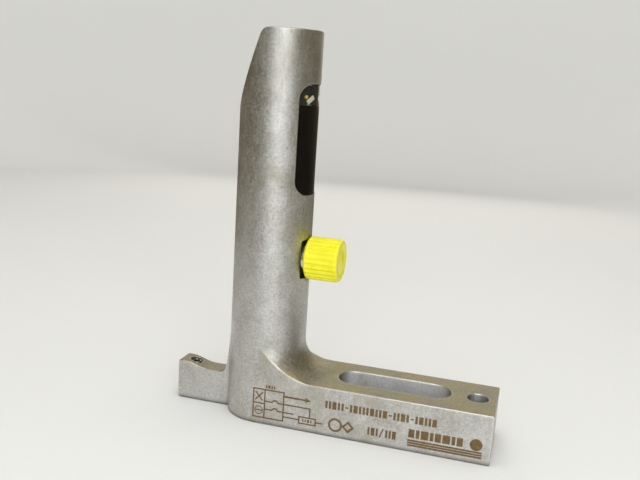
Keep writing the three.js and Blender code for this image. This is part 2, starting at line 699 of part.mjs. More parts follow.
function makeClosingDisc() {
  const discRadius = BORE_RADIUS - 0.3;
  const grooveRadius = 8;
  const grooveLow = 1.5;
  const grooveHigh = 3.3;
  const disc = turnedZ([
    [0, 0],
    [discRadius, 0],
    [discRadius, grooveLow],
    [grooveRadius, grooveLow],
    [grooveRadius, grooveHigh],
    [discRadius, grooveHigh],
    [discRadius, 4.8],
    [0, 4.8],
  ], BORE_STEPS);
  place("closing_disc", disc, STEEL, 0.4, 0.9);
  const ringRadius = 0.6;
  const ring = new THREE.TorusGeometry(grooveRadius + 0.15 + ringRadius, ringRadius, 6, 36);
  ring.translate(0, 0, (grooveLow + grooveHigh) / 2);
  place("disc_seal_ring", ring, BLACK, 0.8, 0);
}

function makeLugScrew() {
  const screwRadius = LUG_HOLE_RADIUS - 0.3;
  const topZ = LUG_LAND_Z - 0.9;
  const screwLength = 8;
  const chamfer = 0.4;
  const socketHalfFlats = 1.25;
  const socketDepth = 3;
  const body = turnedZ(
    [
      [0, topZ - screwLength],
      [screwRadius - chamfer, topZ - screwLength],
      [screwRadius, topZ - screwLength + chamfer],
      [screwRadius, topZ - chamfer],
      [screwRadius - chamfer, topZ],
      [0, topZ],
    ],
    SMALL_STEPS,
  ).translate(LUG_HOLE_X, 0, 0);
  const socketCorner = socketHalfFlats / Math.cos(Math.PI / 6);
  const socket = rodZ(socketCorner, topZ - socketDepth, topZ + 1, 6, LUG_HOLE_X);
  const screw = solidOf(body).subtract(solidOf(socket));
  place("lug_set_screw", geometryOf(screw), 0x8d8c88, 0.35, 0.95);
}

makeHousing();
makeWindow();
makeOptics();
makeElectronics();
makeConnector();
makeLeads();
makeCap();
makeClosingDisc();
makeLugScrew();

export default sensor;
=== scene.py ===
import json
from contextlib import contextmanager
from math import acos, asin, cos, degrees, pi, radians, sin, sqrt, tan

import bmesh
import bpy
import numpy as np
from mathutils import Matrix, Vector


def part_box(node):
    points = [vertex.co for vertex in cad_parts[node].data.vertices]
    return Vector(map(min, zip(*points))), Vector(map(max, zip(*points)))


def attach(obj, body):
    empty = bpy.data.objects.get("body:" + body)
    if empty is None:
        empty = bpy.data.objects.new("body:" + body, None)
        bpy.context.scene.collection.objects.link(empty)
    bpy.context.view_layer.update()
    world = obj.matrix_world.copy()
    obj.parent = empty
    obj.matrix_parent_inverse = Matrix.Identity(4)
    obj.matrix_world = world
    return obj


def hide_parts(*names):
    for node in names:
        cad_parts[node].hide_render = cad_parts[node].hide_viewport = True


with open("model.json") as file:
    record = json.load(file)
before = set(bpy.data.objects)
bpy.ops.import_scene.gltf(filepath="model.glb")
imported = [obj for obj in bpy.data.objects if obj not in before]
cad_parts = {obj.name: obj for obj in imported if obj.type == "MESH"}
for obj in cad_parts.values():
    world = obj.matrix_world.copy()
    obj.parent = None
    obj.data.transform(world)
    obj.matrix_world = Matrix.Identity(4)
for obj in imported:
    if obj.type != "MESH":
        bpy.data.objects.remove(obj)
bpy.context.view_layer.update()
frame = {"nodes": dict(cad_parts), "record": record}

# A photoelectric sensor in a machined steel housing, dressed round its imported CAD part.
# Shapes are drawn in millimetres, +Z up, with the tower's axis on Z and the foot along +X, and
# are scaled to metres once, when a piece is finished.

MM = 0.001


def cad_box(node):
    """Lowest and highest corner of a CAD node, in millimetres."""
    low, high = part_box(node)
    return low / MM, high / MM


# ---- sizes from the frame

HOUSING_LOW, HOUSING_HIGH = cad_box("housing")
TOWER_RADIUS = HOUSING_HIGH.y
TOWER_HEIGHT = HOUSING_HIGH.z
FOOT_END_X = HOUSING_HIGH.x
LUG_END_X = HOUSING_LOW.x
MOUNTS = {mount["name"]: mount for mount in frame["record"]["mounts"]}
FOOT_HEIGHT = MOUNTS["foot_top_face"]["pos_m"][2] / MM

FILTER_LOW, FILTER_HIGH = cad_box("filter_window")
LENS_LOW, LENS_HIGH = cad_box("indicator_lens")
SHELL_LOW, SHELL_HIGH = cad_box("connector_shell")
SEAL_LOW, SEAL_HIGH = cad_box("connector_seal")
CAP_LOW, CAP_HIGH = cad_box("protective_cap")
INSERT_LOW, INSERT_HIGH = cad_box("connector_insert")
CONTACTS = [cad_box(f"contact_pin_{i}") for i in range(1, 5)]
SCREW_LOW, SCREW_HIGH = cad_box("lug_set_screw")
DISC_HIGH = cad_box("closing_disc")[1]
BOARD_FRONT_X = cad_box("indicator_board")[1].x
LED_LOW, LED_HIGH = cad_box("status_led")
CONNECTOR_Z = (SHELL_LOW.z + SHELL_HIGH.z) / 2

# ---- other driving dimensions

EDGE = 0.5  # rounding of the housing's machined edges
SLOPE_START_Z = TOWER_HEIGHT - 32.5
SLOPE_ANGLE = radians(20.5)
SLOPE_TOP_RADIUS = 4.0
ROOT_FILLET = 12.5
FILM_AND_REFLECTION_TOP_Z = FOOT_HEIGHT + 20  # the film and painted reflection tint on faces that look up fade out above this height
FILM_AND_REFLECTION_FADE = 15
SLOT_FAR_X = FOOT_END_X - 24
SLOT_NEAR_X = SLOT_FAR_X - 30.5
SLOT_RADIUS = 6.8
DOWEL_X = FOOT_END_X - 7.2
DOWEL_RADIUS = 4.0
HOLE_CHAMFER = 0.3
BEYOND = 2.0  # how far a cutter reaches past the face it cuts

LUG_HALF_WIDTH = 4.4
LUG_LAND_Z = 16.3
LUG_WAIST_Z = 14.1
LUG_LAND_END_X = LUG_END_X + 2.2
LUG_WAIST_START_X = LUG_END_X + 13.5
LUG_WAIST_END_X = LUG_END_X + 18
LUG_LOWER_CORNER = 1.8
LUG_UPPER_CORNER = 1.2
LUG_SIDE_FILLET = 0.8
LUG_ROOT_TOP_Z = 31.0
LUG_HOLE_X = (SCREW_LOW.x + SCREW_HIGH.x) / 2
LUG_HOLE_RADIUS = 2.4
LUG_THREAD_PITCH = 0.8
LUG_THREAD_DEPTH = 0.28

BORE_RADIUS = 9.5
BORE_TOP_Z = 122.0
UPPER_BORE_RADIUS = 7.5
UPPER_BORE_TOP_Z = 132.0
WINDOW_CLEARANCE = 0.25
WINDOW_LOW_Z = FILTER_LOW.z - WINDOW_CLEARANCE
WINDOW_HIGH_Z = LENS_HIGH.z + WINDOW_CLEARANCE
WINDOW_HALF_WIDTH = FILTER_HIGH.y + WINDOW_CLEARANCE
WINDOW_CORNER = 5.3
WINDOW_LEDGE_X = FILTER_LOW.x - 0.9
WINDOW_OPENING_INSET = 2.8
PANE_RIM = 0.22
PANE_GAP = 0.02
CORE_RADIUS = FILTER_HIGH.x - 2.3  # of the dark core potted in the indicator's clear pane

POCKET_CLEARANCE = 0.3
POCKET_FLOOR_X = SEAL_LOW.x - 0.1
POCKET_CORNER = 0.8
CONNECTOR_HOLE_RADIUS = 5.5
CONNECTOR_PITCH = 1.0
THREAD_RADIUS = 5.95
THREAD_DEPTH = 0.55
THREAD_FADE = 0.8
SHELL_BORE_RADIUS = 4.45
COLLAR_BACK_X = 13.5
COLLAR_FRONT_X = 14.5
COLLAR_RADIUS = 6.35
CAP_THREAD_DEPTH = 0.22

MARK_RISE = 0.012
MARK_ROOT = 0.02
MARK_BED_Y = -TOWER_RADIUS + MARK_RISE  # the foot's near side gives way to the marks' thickness


# ---- solids

WELD = 1e-4
QUARTER = pi / 2


@contextmanager
def editing(mesh):
    """The mesh opened as a bmesh, and written back at the end."""
    form = bmesh.new()
    form.from_mesh(mesh)
    yield form
    form.to_mesh(mesh)
    form.free()


def add_object(name, data):
    obj = bpy.data.objects.new(name, data)
    bpy.context.scene.collection.objects.link(obj)
    return obj


def new_mesh(name, verts, faces):
    mesh = bpy.data.meshes.new(name)
    mesh.from_pydata([tuple(map(float, v)) for v in verts], [], faces)
    return mesh


def solid(name, verts, faces):
    """A closed mesh object drawn in millimetres, with its faces turned outward."""
    mesh = new_mesh(name, verts, faces)
    with editing(mesh) as form:
        bmesh.ops.remove_doubles(form, verts=form.verts, dist=WELD)
        bmesh.ops.dissolve_degenerate(form, edges=form.edges, dist=WELD)
        bmesh.ops.recalc_face_normals(form, faces=form.faces)
    return add_object(name, mesh)


def loft(name, loops, closed=False):
    """A solid through loops of the same length, flat at both ends or closed to a ring."""
    count = len(loops[0])
    verts = [point for loop in loops for point in loop]
    starts = list(range(0, len(verts), count))
    faces = [] if closed else [tuple(reversed(range(count)))]
    for a, b in zip(starts, starts[1:] + starts[:1] if closed else starts[1:]):
        for j in range(count):
            k = (j + 1) % count
            faces.append((a + j, a + k, b + k, b + j))
    if not closed:
        faces.append(tuple(range(starts[-1], len(verts))))
    return solid(name, verts, faces)


def circle(radius, steps, phase=0.0):
    turns = [phase + 2 * pi * i / steps for i in range(steps)]
    return [(radius * cos(turn), radius * sin(turn)) for turn in turns]


def arc(centre, radius, start, end, steps):
    """Points of an arc in a drawing plane, from one angle in degrees to another."""
    turns = [radians(start + (end - start) * i / steps) for i in range(steps + 1)]
    return [(centre[0] + radius * cos(t), centre[1] + radius * sin(t)) for t in turns]


def rings(profile, steps, radius_at=None):
    """The place of each profile row on the axis, with the ring of points round it there.

    A row starts with its radius and its place. Without radius_at, the profile's ends are drawn
    in to the axis. With it, radius_at gives the radius at a row and a turn from 0 to 1.
    """
    if radius_at is None:
        profile = [(0, profile[0][1]), *profile, (0, profile[-1][1])]
    for row in profile:
        ring = []
        for i in range(steps):
            radius = radius_at(row, i / steps) if radius_at else max(row[0], WELD / 10)
            angle = 2 * pi * i / steps
            ring.append((radius * cos(angle), radius * sin(angle)))
        yield row[1], ring


def turned_z(name, profile, steps, x=0.0, radius_at=None):
    """A profile turned about a line along Z."""
    return loft(name, [[(x + a, b, z) for a, b in ring]
                       for z, ring in rings(profile, steps, radius_at)])


def turned_x(name, profile, steps, z=CONNECTOR_Z, y=0.0, radius_at=None, closed=False):
    """A profile turned about a line along X."""
    return loft(name, [[(x, y + a, z + b) for a, b in ring]
                       for x, ring in rings(profile, steps, radius_at)], closed)


def prism_x(name, outline, low, high):
    """An outline of (y, z) points between two stations along X."""
    return loft(name, [[(x, y, z) for y, z in outline] for x in (low, high)])


def prism_y(name, outline, low, high):
    """An outline of (x, z) points between two stations along Y."""
    return loft(name, [[(x, y, z) for x, z in outline] for y in (low, high)])


def prism_z(name, outline, low, high):
    """An outline of (x, y) points between two heights."""
    return loft(name, [[(x, y, z) for x, y in outline] for z in (low, high)])


def rectangle(low, high):
    return [low, (high[0], low[1]), high, (low[0], high[1])]


def box_solid(name, low, high):
    return prism_z(name, rectangle(low[:2], high[:2]), low[2], high[2])


def rounded_rectangle(low, high, radius, steps):
    left, bottom = low[0] + radius, low[1] + radius
    right, top = high[0] - radius, high[1] - radius
    outline = []
    for i, corner in enumerate(((right, top), (left, top), (left, bottom), (right, bottom))):
        outline += arc(corner, radius, 90 * i, 90 * i + 90, steps)
    return outline


def combine(base, other, operation="DIFFERENCE"):
    """Joins or cuts base with other, and removes other."""
    cut = base.modifiers.new("cut", "BOOLEAN")
    cut.operation = operation
    cut.object = other
    cut.solver = "MANIFOLD"
    graph = bpy.context.evaluated_depsgraph_get()
    made = bpy.data.meshes.new_from_object(base.evaluated_get(graph))
    base.modifiers.clear()
    base.data = made
    bpy.data.objects.remove(other)
    return base


def round_edges(obj, width, segments=2, angle=60.0, keep=lambda edge: True):
    """Rounds every edge that is sharper than an angle in degrees."""
    with editing(obj.data) as form:
        sharp = [
            edge for edge in form.edges
            if len(edge.link_faces) == 2
            and degrees(edge.calc_face_angle(0)) > angle
            and keep(edge)
        ]
        bmesh.ops.bevel(
            form, geom=sharp, offset=width, offset_type="OFFSET", segments=segments,
            profile=0.5, affect="EDGES", clamp_overlap=False, loop_slide=True,
        )
        bmesh.ops.remove_doubles(form, verts=form.verts, dist=WELD)
    return obj


def join(base, *others):
    """Gathers separate closed forms in one piece."""
    with editing(base.data) as form:
        for other in others:
            form.from_mesh(other.data)
            bpy.data.objects.remove(other)
    return base


def rounded_box(name, back, depth, half_y, half_z, radius, y=0.0, z=0.0):
    """A rounded box that stands on a plane across X, centred on a point (y, z)."""
    low, high = (back, y - half_y, z - half_z), (back + depth, y + half_y, z + half_z)
    return round_edges(box_solid(name, low, high), radius)


def smooth(obj, angle=32.0):
    for face in obj.data.polygons:
        face.use_smooth = True
    obj.data.set_sharp_from_angle(angle=radians(angle))


def crease_plane(obj, normal, angle=8.0):
    """Creases the faces with this normal along their border, where it bends over an angle."""
    aligned = cos(radians(1))
    with editing(obj.data) as form:
        for edge in form.edges:
            if len(edge.link_faces) == 2 and degrees(edge.calc_face_angle(0)) > angle:
                if any(face.normal.dot(normal) > aligned for face in edge.link_faces):
                    edge.smooth = False


def finish(obj, slot, replaces=(), look=None, body="sensor_body", angle=32.0, even=True):
    """Scales a piece to metres, gives it the look of its slot or another, and hands it over."""
    obj.data.transform(Matrix.Scale(MM, 4))
    smooth(obj, angle)
    if even:
        obj.modifiers.new("even shading", "WEIGHTED_NORMAL").keep_sharp = True
    obj.data.materials.clear()
    obj.data.materials.append(MATERIALS[look or slot])
    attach(obj, body)
    if replaces:
        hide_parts(*replaces)


# ---- material nodes

def new_material(name):
    made = bpy.data.materials.new(name)
    made.use_nodes = True
    return made, made.node_tree, made.node_tree.nodes["Principled BSDF"]


def rgba(colour):
    """A colour with full alpha. A socket stays as it is."""
    return colour if isinstance(colour, bpy.types.NodeSocket) else (*colour, 1)


def feed(tree, made, inputs):
    """Links or sets the inputs of a node."""
    for key, value in inputs.items():
        if isinstance(value, bpy.types.NodeSocket):
            tree.links.new(value, made.inputs[key])
        else:
            made.inputs[key].default_value = value


def node(tree, kind, inputs=None, **settings):
    """Adds a node, sets its fields, and links or sets its inputs."""
    made = tree.nodes.new("ShaderNode" + kind)
    for key, value in settings.items():
        setattr(made, key, value)
    feed(tree, made, inputs or {})
    return made


def on_piece(tree, output="Object"):
    """The point on the piece in metres, or its normal."""
    return node(tree, "TexCoord").outputs[output]


def part_of(tree, vector, axis):
    return node(tree, "SeparateXYZ", {"Vector": vector}).outputs[axis]


def in_mm(tree, stretch=(1, 1, 1)):
    """The point on the piece in millimetres, with each axis stretched."""
    inputs = {"Vector": on_piece(tree), "Scale": tuple(s / MM for s in stretch)}
    return node(tree, "Mapping", inputs).outputs[0]


def noise(tree, vector, scale, detail=4.0, roughness=0.55, distortion=0.0):
    inputs = {"Vector": vector, "Scale": scale, "Detail": detail, "Roughness": roughness,
              "Distortion": distortion}
    return node(tree, "TexNoise", inputs).outputs["Fac"]


def ramp(tree, factor, low, high, dark, light):
    """A colour that goes from dark to light while a factor goes from low to high."""
    made = node(tree, "ValToRGB", {"Fac": factor})
    for element, position, colour in zip(made.color_ramp.elements, (low, high), (dark, light)):
        element.position = position
        element.color = rgba(colour)
    return made.outputs["Color"]


def remap(tree, value, low, high, new_low, new_high):
    inputs = {"Value": value, "From Min": low, "From Max": high, "To Min": new_low,
              "To Max": new_high}
    return node(tree, "MapRange", inputs).outputs["Result"]


def mix(tree, factor, first, second):
    inputs = {0: factor, 6: rgba(first), 7: rgba(second)}
    return node(tree, "Mix", inputs, data_type="RGBA").outputs[2]


def calculate(tree, operation, first, second=0.0):
    return node(tree, "Math", {0: first, 1: second}, operation=operation).outputs[0]


def product(tree, first, *others):
    for other in others:
        first = calculate(tree, "MULTIPLY", first, other)
    return first


def blend(tree, first, share, second):
    """A share of the first value plus the rest of the second."""
    return calculate(tree, "ADD", product(tree, first, share), product(tree, second, 1 - share))


def bump(tree, height, strength, distance_mm, normal=None):
    inputs = {"Height": height, "Strength": strength, "Distance": distance_mm * MM}
    if normal is not None:
        inputs["Normal"] = normal
    return node(tree, "Bump", inputs).outputs["Normal"]


def soft_edges(tree, radius_mm):
    """Normals that round the sharp edges a cutter leaves."""
    return node(tree, "Bevel", {"Radius": radius_mm * MM}, samples=6).outputs["Normal"]


def inside(tree, value, low, high):
    """One where a value lies between two limits in millimetres, else nought."""
    above = calculate(tree, "GREATER_THAN", value, low * MM)
    return product(tree, above, calculate(tree, "LESS_THAN", value, high * MM))


# ---- materials

STAIN = (0.37, 0.33, 0.23)
SPOT = (0.20, 0.18, 0.14)
FLECK = (0.13, 0.115, 0.09)
# olive film and painted reflection tint for faces that look up
FILM_AND_REFLECTION = (0.37, 0.325, 0.17), (0.68, 0.62, 0.41)
# colour of the painted shade in inner corners and along the floor
PAINTED_SHADE = (0.10, 0.09, 0.075)
# near-white colour of worn edges and their painted highlight
WORN_AND_HIGHLIGHT = (0.98, 0.975, 0.96)
# tones of fresh milled walls, made lighter and bluer as painted light
MILLED_LIT_TONES = (0.70, 0.715, 0.73), (0.92, 0.93, 0.94)
# dark colour painted as shade on the slot's rounded ends
END_SHADE = (0.17, 0.165, 0.15)
TONE_RANGE = 0.40, 0.60
EVEN_RANGE = 0.35, 0.65


def milled_area(tree):
    """One on the walls of the slot and the dowel hole, else nought."""
    place = on_piece(tree)
    side = SLOT_RADIUS + 0.1
    return product(
        tree,
        inside(tree, part_of(tree, place, "X"), SLOT_NEAR_X - SLOT_RADIUS - 0.5, FOOT_END_X - 1),
        inside(tree, part_of(tree, place, "Y"), -side, side),
        inside(tree, part_of(tree, place, "Z"), HOLE_CHAMFER, FOOT_HEIGHT - HOLE_CHAMFER),
    )


def painted_end_shade(tree):
    """Painted shade that grows to its most where a wall faces along X, as the rounded ends of the
    slot do.
    """
    along = part_of(tree, on_piece(tree, "Normal"), "X")
    return remap(tree, calculate(tree, "ABSOLUTE", along), 0.55, 0.98, 0.0, 0.85)


def film_and_reflection_area(tree, cloud):
    """A patchy film with a painted reflection tint on the faces of the foot, the lug and the root
    fillet that look up.
    """
    up = part_of(tree, on_piece(tree, "Normal"), "Z")
    height = part_of(tree, on_piece(tree), "Z")
    return product(
        tree,
        remap(tree, up, 0.10, 0.80, 0.0, 1.0),
        remap(tree, height, FILM_AND_REFLECTION_TOP_Z * MM, (FILM_AND_REFLECTION_TOP_Z + FILM_AND_REFLECTION_FADE) * MM, 1.0, 0.0),
        remap(tree, cloud, 0.38, 0.62, 0.20, 0.85),
    )


def openness(tree):
    """One on open surfaces, less in inner corners."""
    inputs = {"Distance": 2.4 * MM}
    return node(tree, "AmbientOcclusion", inputs, samples=8).outputs["AO"]


def soiled_and_shaded(tree, colour, place, tone, cloud, speck, amount):
    """Stains, spots and flecks, a film with a painted reflection tint on faces that look up, and
    painted shade where other surfaces close in, as in inner corners.
    """
    stain = noise(tree, in_mm(tree, (1, 1, 0.6)), 0.06, 6, 0.7, 0.6)
    colour = mix(tree, remap(tree, stain, 0.50, 0.72, 0.0, amount), colour, STAIN)
    spots = remap(tree, noise(tree, place, 0.42, 7, 0.75), 0.60, 0.72, 0.0, 0.5 * amount)
    colour = mix(tree, spots, colour, SPOT)
    flecks = remap(tree, noise(tree, place, 0.95, 2, 0.5, 0.5), 0.69, 0.74, 0.0, 0.6)
    colour = mix(tree, flecks, colour, FLECK)
    # film and painted reflection tint on faces that look up
    colour = mix(tree, film_and_reflection_area(tree, cloud), colour, ramp(tree, tone, *TONE_RANGE, *FILM_AND_REFLECTION))
    # painted shade: the colour darkens where other surfaces close in, as in inner corners and along
    # the floor
    corner_shade = product(tree, remap(tree, openness(tree), 0.90, 0.50, 0.0, 1.0),
                    remap(tree, speck, 0.3, 0.6, 0.55, 0.95))
    return mix(tree, corner_shade, colour, PAINTED_SHADE)


def worn_and_highlit_edges(tree, edge_mm):
    """One along outer edges, where a wide rounding turns the normal away from the face's own; it
    marks wear and a painted highlight.
    """
    face = node(tree, "NewGeometry").outputs["Normal"]
    inputs = {0: soft_edges(tree, edge_mm * 2.5), 1: face}
    agreement = node(tree, "VectorMath", inputs, operation="DOT_PRODUCT")
    return product(tree, remap(tree, agreement.outputs["Value"], 0.99, 0.93, 0.0, 1.0),
                   remap(tree, openness(tree), 0.84, 0.95, 0.0, 1.0))


def steel(name, dark, light, roughness, edge_mm, grain, stained_and_shaded=0.0, turned=(4, 4, 0.3),
          milled=False):
    """Blasted or turned steel: mottled tone, fine grain, faint tool marks, bright worn edges with a
    painted highlight.
    """
    made, tree, shader = new_material(name)
    place = in_mm(tree)
    cloud = noise(tree, place, 0.11, 5, 0.6, 0.3)
    speck = noise(tree, place, 1.15, 6, 0.75)
    tone = blend(tree, cloud, 0.32, speck)
    colour = ramp(tree, tone, *TONE_RANGE, dark, light)
    if stained_and_shaded:
        colour = soiled_and_shaded(tree, colour, place, tone, cloud, speck, stained_and_shaded)
    lines = noise(tree, in_mm(tree, turned), 1.0, 4, 0.7)
    streaks = noise(tree, in_mm(tree, (1.6, 1.6, 0.12)), 1.0, 4, 0.6)
    dullness = calculate(
        tree, "ADD",
        remap(tree, blend(tree, lines, 0.4, speck), 0.38, 0.62, roughness - 0.10, roughness + 0.11),
        remap(tree, streaks, 0.35, 0.65, -0.04, 0.04),
    )
    # wear and a painted highlight along outer edges
    wear_and_highlight = worn_and_highlit_edges(tree, edge_mm)
    colour = mix(tree, wear_and_highlight, colour, WORN_AND_HIGHLIGHT)
    dullness = calculate(tree, "SUBTRACT", dullness, product(tree, wear_and_highlight, 0.14))
    # the milled walls: fresh metal, lightened and blued as painted light where the lamps reach
    # little
    if milled:
        milled_walls = milled_area(tree)
        # painted shade on the slot's rounded ends
        milled_lit_colour = mix(tree, painted_end_shade(tree), ramp(tree, tone, *TONE_RANGE, *MILLED_LIT_TONES), END_SHADE)
        colour = mix(tree, milled_walls, colour, milled_lit_colour)
        dullness = calculate(tree, "ADD", dullness, product(tree, milled_walls, 0.12))
    brushed = bump(tree, lines, 0.22 * grain, 0.03, soft_edges(tree, edge_mm))
    pitted = bump(tree, noise(tree, place, 2.2, 4, 0.65), 0.50 * grain, 0.04, brushed)
    feed(tree, shader, {"Base Color": colour, "Roughness": dullness, "Metallic": 1.0,
                        "Normal": pitted})
    return made


def plastic(name, dark, light, roughness, scale=0.4, grain=0.06, grain_scale=6.0, edge_mm=0.1):
    """A moulded or painted surface with slightly uneven tone and fine grain."""
    made, tree, shader = new_material(name)
    place = in_mm(tree)
    polish = noise(tree, place, 1.7, 3)
    height = noise(tree, place, grain_scale, 2)
    feed(tree, shader, {
        "Base Color": ramp(tree, noise(tree, place, scale, 4, 0.6), *EVEN_RANGE, dark, light),
        "Roughness": remap(tree, polish, 0.3, 0.7, roughness - 0.05, roughness + 0.07),
        "Normal": bump(tree, height, grain, 0.03, soft_edges(tree, edge_mm)),
    })
    return made


def metal(name, dark, light, roughness, scale=0.6):
    """A plated surface."""
    made = plastic(name, dark, light, roughness, scale, 0.05, 8.0)
    made.node_tree.nodes["Principled BSDF"].inputs["Metallic"].default_value = 1.0
    return made


def annealed(name, dark, light, roughness):
    """Steel tinted brown by a marking laser."""
    made, tree, shader = new_material(name)
    place = in_mm(tree)
    tone = noise(tree, place, 1.3, 5, 0.65)
    feed(tree, shader, {
        "Base Color": ramp(tree, tone, *EVEN_RANGE, dark, light),
        "Metallic": 1.0,
        "Roughness": remap(tree, tone, 0.3, 0.7, roughness - 0.05, roughness + 0.08),
        "Normal": bump(tree, noise(tree, place, 3.0, 4, 0.6), 0.3, 0.03),
    })
    return made


def clear(name, tint, roughness):
    """Clear plastic or glass with a faintly uneven surface, which lets the lamps' light in."""
    made, tree, shader = new_material(name)
    place = in_mm(tree)
    polish = noise(tree, place, 0.5, 3)
    feed(tree, shader, {
        "Base Color": rgba(tint), "Transmission Weight": 1.0, "IOR": 1.49,
        "Roughness": remap(tree, polish, 0.3, 0.7, roughness, roughness + 0.05),
        "Normal": bump(tree, noise(tree, place, 0.35, 2), 0.05, 0.05),
    })
    through = node(tree, "BsdfTransparent", {"Color": rgba(tint)}).outputs[0]
    lamp_ray = node(tree, "LightPath").outputs["Is Shadow Ray"]
    glass = node(tree, "MixShader", {0: lamp_ray, 1: shader.outputs[0], 2: through})
    feed(tree, tree.nodes["Material Output"], {"Surface": glass.outputs[0]})
    return made


def board_material(name, mask, track):
    """Solder mask with the tracks under it showing as slightly lighter lines."""
    made, tree, shader = new_material(name)
    inputs = {"Vector": in_mm(tree), "Scale": 0.45, "Randomness": 0.55}
    cells = node(tree, "TexVoronoi", inputs, distance="CHEBYCHEV",
                 feature="DISTANCE_TO_EDGE").outputs["Distance"]
    lines = remap(tree, cells, 0.05, 0.09, 1.0, 0.0)
    feed(tree, shader, {"Base Color": mix(tree, lines, mask, track), "Roughness": 0.35,
                        "Normal": bump(tree, lines, 0.2, 0.03)})
    return made


# Each look: its maker, and what the maker takes after the name.
LOOKS = {
    "housing_steel": (steel, (0.45, 0.44, 0.41), (0.71, 0.705, 0.69), 0.47, 0.30, 1.0, 0.65,
                      (4, 4, 0.3), True),
    "turned_steel": (steel, (0.44, 0.43, 0.41), (0.60, 0.59, 0.57), 0.34, 0.15, 0.8, 0.2,
                     (3, 3, 3)),
    "screw_steel": (steel, (0.30, 0.29, 0.28), (0.55, 0.55, 0.54), 0.26, 0.1, 0.5),
    "laser_mark": (annealed, (0.16, 0.105, 0.045), (0.29, 0.20, 0.10), 0.46),
    "nickel_brass": (metal, (0.62, 0.60, 0.55), (0.80, 0.79, 0.75), 0.20),
    "gold_contact": (metal, (0.78, 0.52, 0.16), (0.92, 0.68, 0.28), 0.18, 1.2),
    "seal_rubber": (plastic, (0.012, 0.012, 0.012), (0.03, 0.029, 0.028), 0.62, 0.8, 0.12),
    "black_plastic": (plastic, (0.014, 0.014, 0.015), (0.03, 0.03, 0.031), 0.45),
    "filter_plastic": (plastic, (0.0030, 0.0026, 0.0024), (0.0050, 0.0042, 0.0038), 0.10, 0.2,
                       0.01),
    "yellow_plastic": (plastic, (0.80, 0.75, 0.014), (0.88, 0.83, 0.024), 0.30, 0.25, 0.05, 4.0,
                       0.15),
    "led_package": (plastic, (0.78, 0.74, 0.58), (0.90, 0.87, 0.74), 0.30, 1.2),
    "led_phosphor": (plastic, (0.85, 0.62, 0.10), (0.95, 0.78, 0.22), 0.25, 1.5),
    "flex_film": (plastic, (0.42, 0.20, 0.05), (0.55, 0.28, 0.08), 0.35, 0.5),
    "component_body": (plastic, (0.016, 0.016, 0.017), (0.03, 0.03, 0.03), 0.42, 1.0, 0.1),
    "capacitor_body": (plastic, (0.62, 0.34, 0.06), (0.75, 0.45, 0.10), 0.38, 0.9),
    "wire_brown": (plastic, (0.10, 0.045, 0.02), (0.15, 0.07, 0.03), 0.4),
    "wire_white": (plastic, (0.70, 0.69, 0.66), (0.82, 0.81, 0.79), 0.4),
    "wire_blue": (plastic, (0.01, 0.04, 0.26), (0.02, 0.07, 0.36), 0.4),
    "wire_black": (plastic, (0.010, 0.010, 0.010), (0.02, 0.02, 0.02), 0.4),
    "clear_lens": (clear, (0.90, 0.94, 0.88), 0.03),
    "led_epoxy": (clear, (0.55, 0.68, 0.86), 0.03),
    "white_board": (board_material, (0.11, 0.13, 0.10), (0.20, 0.24, 0.17)),
    "circuit_board": (board_material, (0.012, 0.10, 0.035), (0.03, 0.20, 0.07)),
}
MATERIALS = {name: make(name, *numbers) for name, (make, *numbers) in LOOKS.items()}
FILTER_SHADER = MATERIALS["filter_plastic"].node_tree.nodes["Principled BSDF"]
FILTER_SHADER.inputs["Specular IOR Level"].default_value = 0.3


def dress_cad_nodes():
    """Every CAD piece gets the look of its slot in the record."""
    for part in frame["record"]["subparts"]:
        obj = frame["nodes"][part["node"]]
        obj.data.materials.clear()
        obj.data.materials.append(MATERIALS[part["material_slot"]])
        smooth(obj)


# ---- housing

def tower_solid():
    height, radius = TOWER_HEIGHT, TOWER_RADIUS
    round_bottom = arc((radius - EDGE, EDGE), EDGE, -90, 0, 6)
    round_top = arc((radius - EDGE, height - EDGE), EDGE, 0, 90, 6)
    sides = [(radius, z) for z in np.linspace(5, height - 5, 29)]
    return turned_z("tower", [*round_bottom, *sides, *round_top], 256)


def slope_cutter():
    """What the sloped back removes, with its rounding into the top face."""
    below, beyond = 10.0, 4.0
    corner_x = -TOWER_RADIUS + (TOWER_HEIGHT - SLOPE_START_Z) * tan(SLOPE_ANGLE)
    arc_x = corner_x + SLOPE_TOP_RADIUS * tan((QUARTER - SLOPE_ANGLE) / 2)
    low, high = SLOPE_START_Z - below, TOWER_HEIGHT + beyond
    outline = [
        (-TOWER_RADIUS - below * tan(SLOPE_ANGLE), low),
        *arc((arc_x, TOWER_HEIGHT - SLOPE_TOP_RADIUS), SLOPE_TOP_RADIUS,
             180 - degrees(SLOPE_ANGLE), 90, 14),
        (arc_x, high), (-TOWER_RADIUS - 2 * beyond, high), (-TOWER_RADIUS - 2 * beyond, low),
    ]
    return prism_y("slope", outline, -TOWER_RADIUS - beyond, TOWER_RADIUS + beyond)


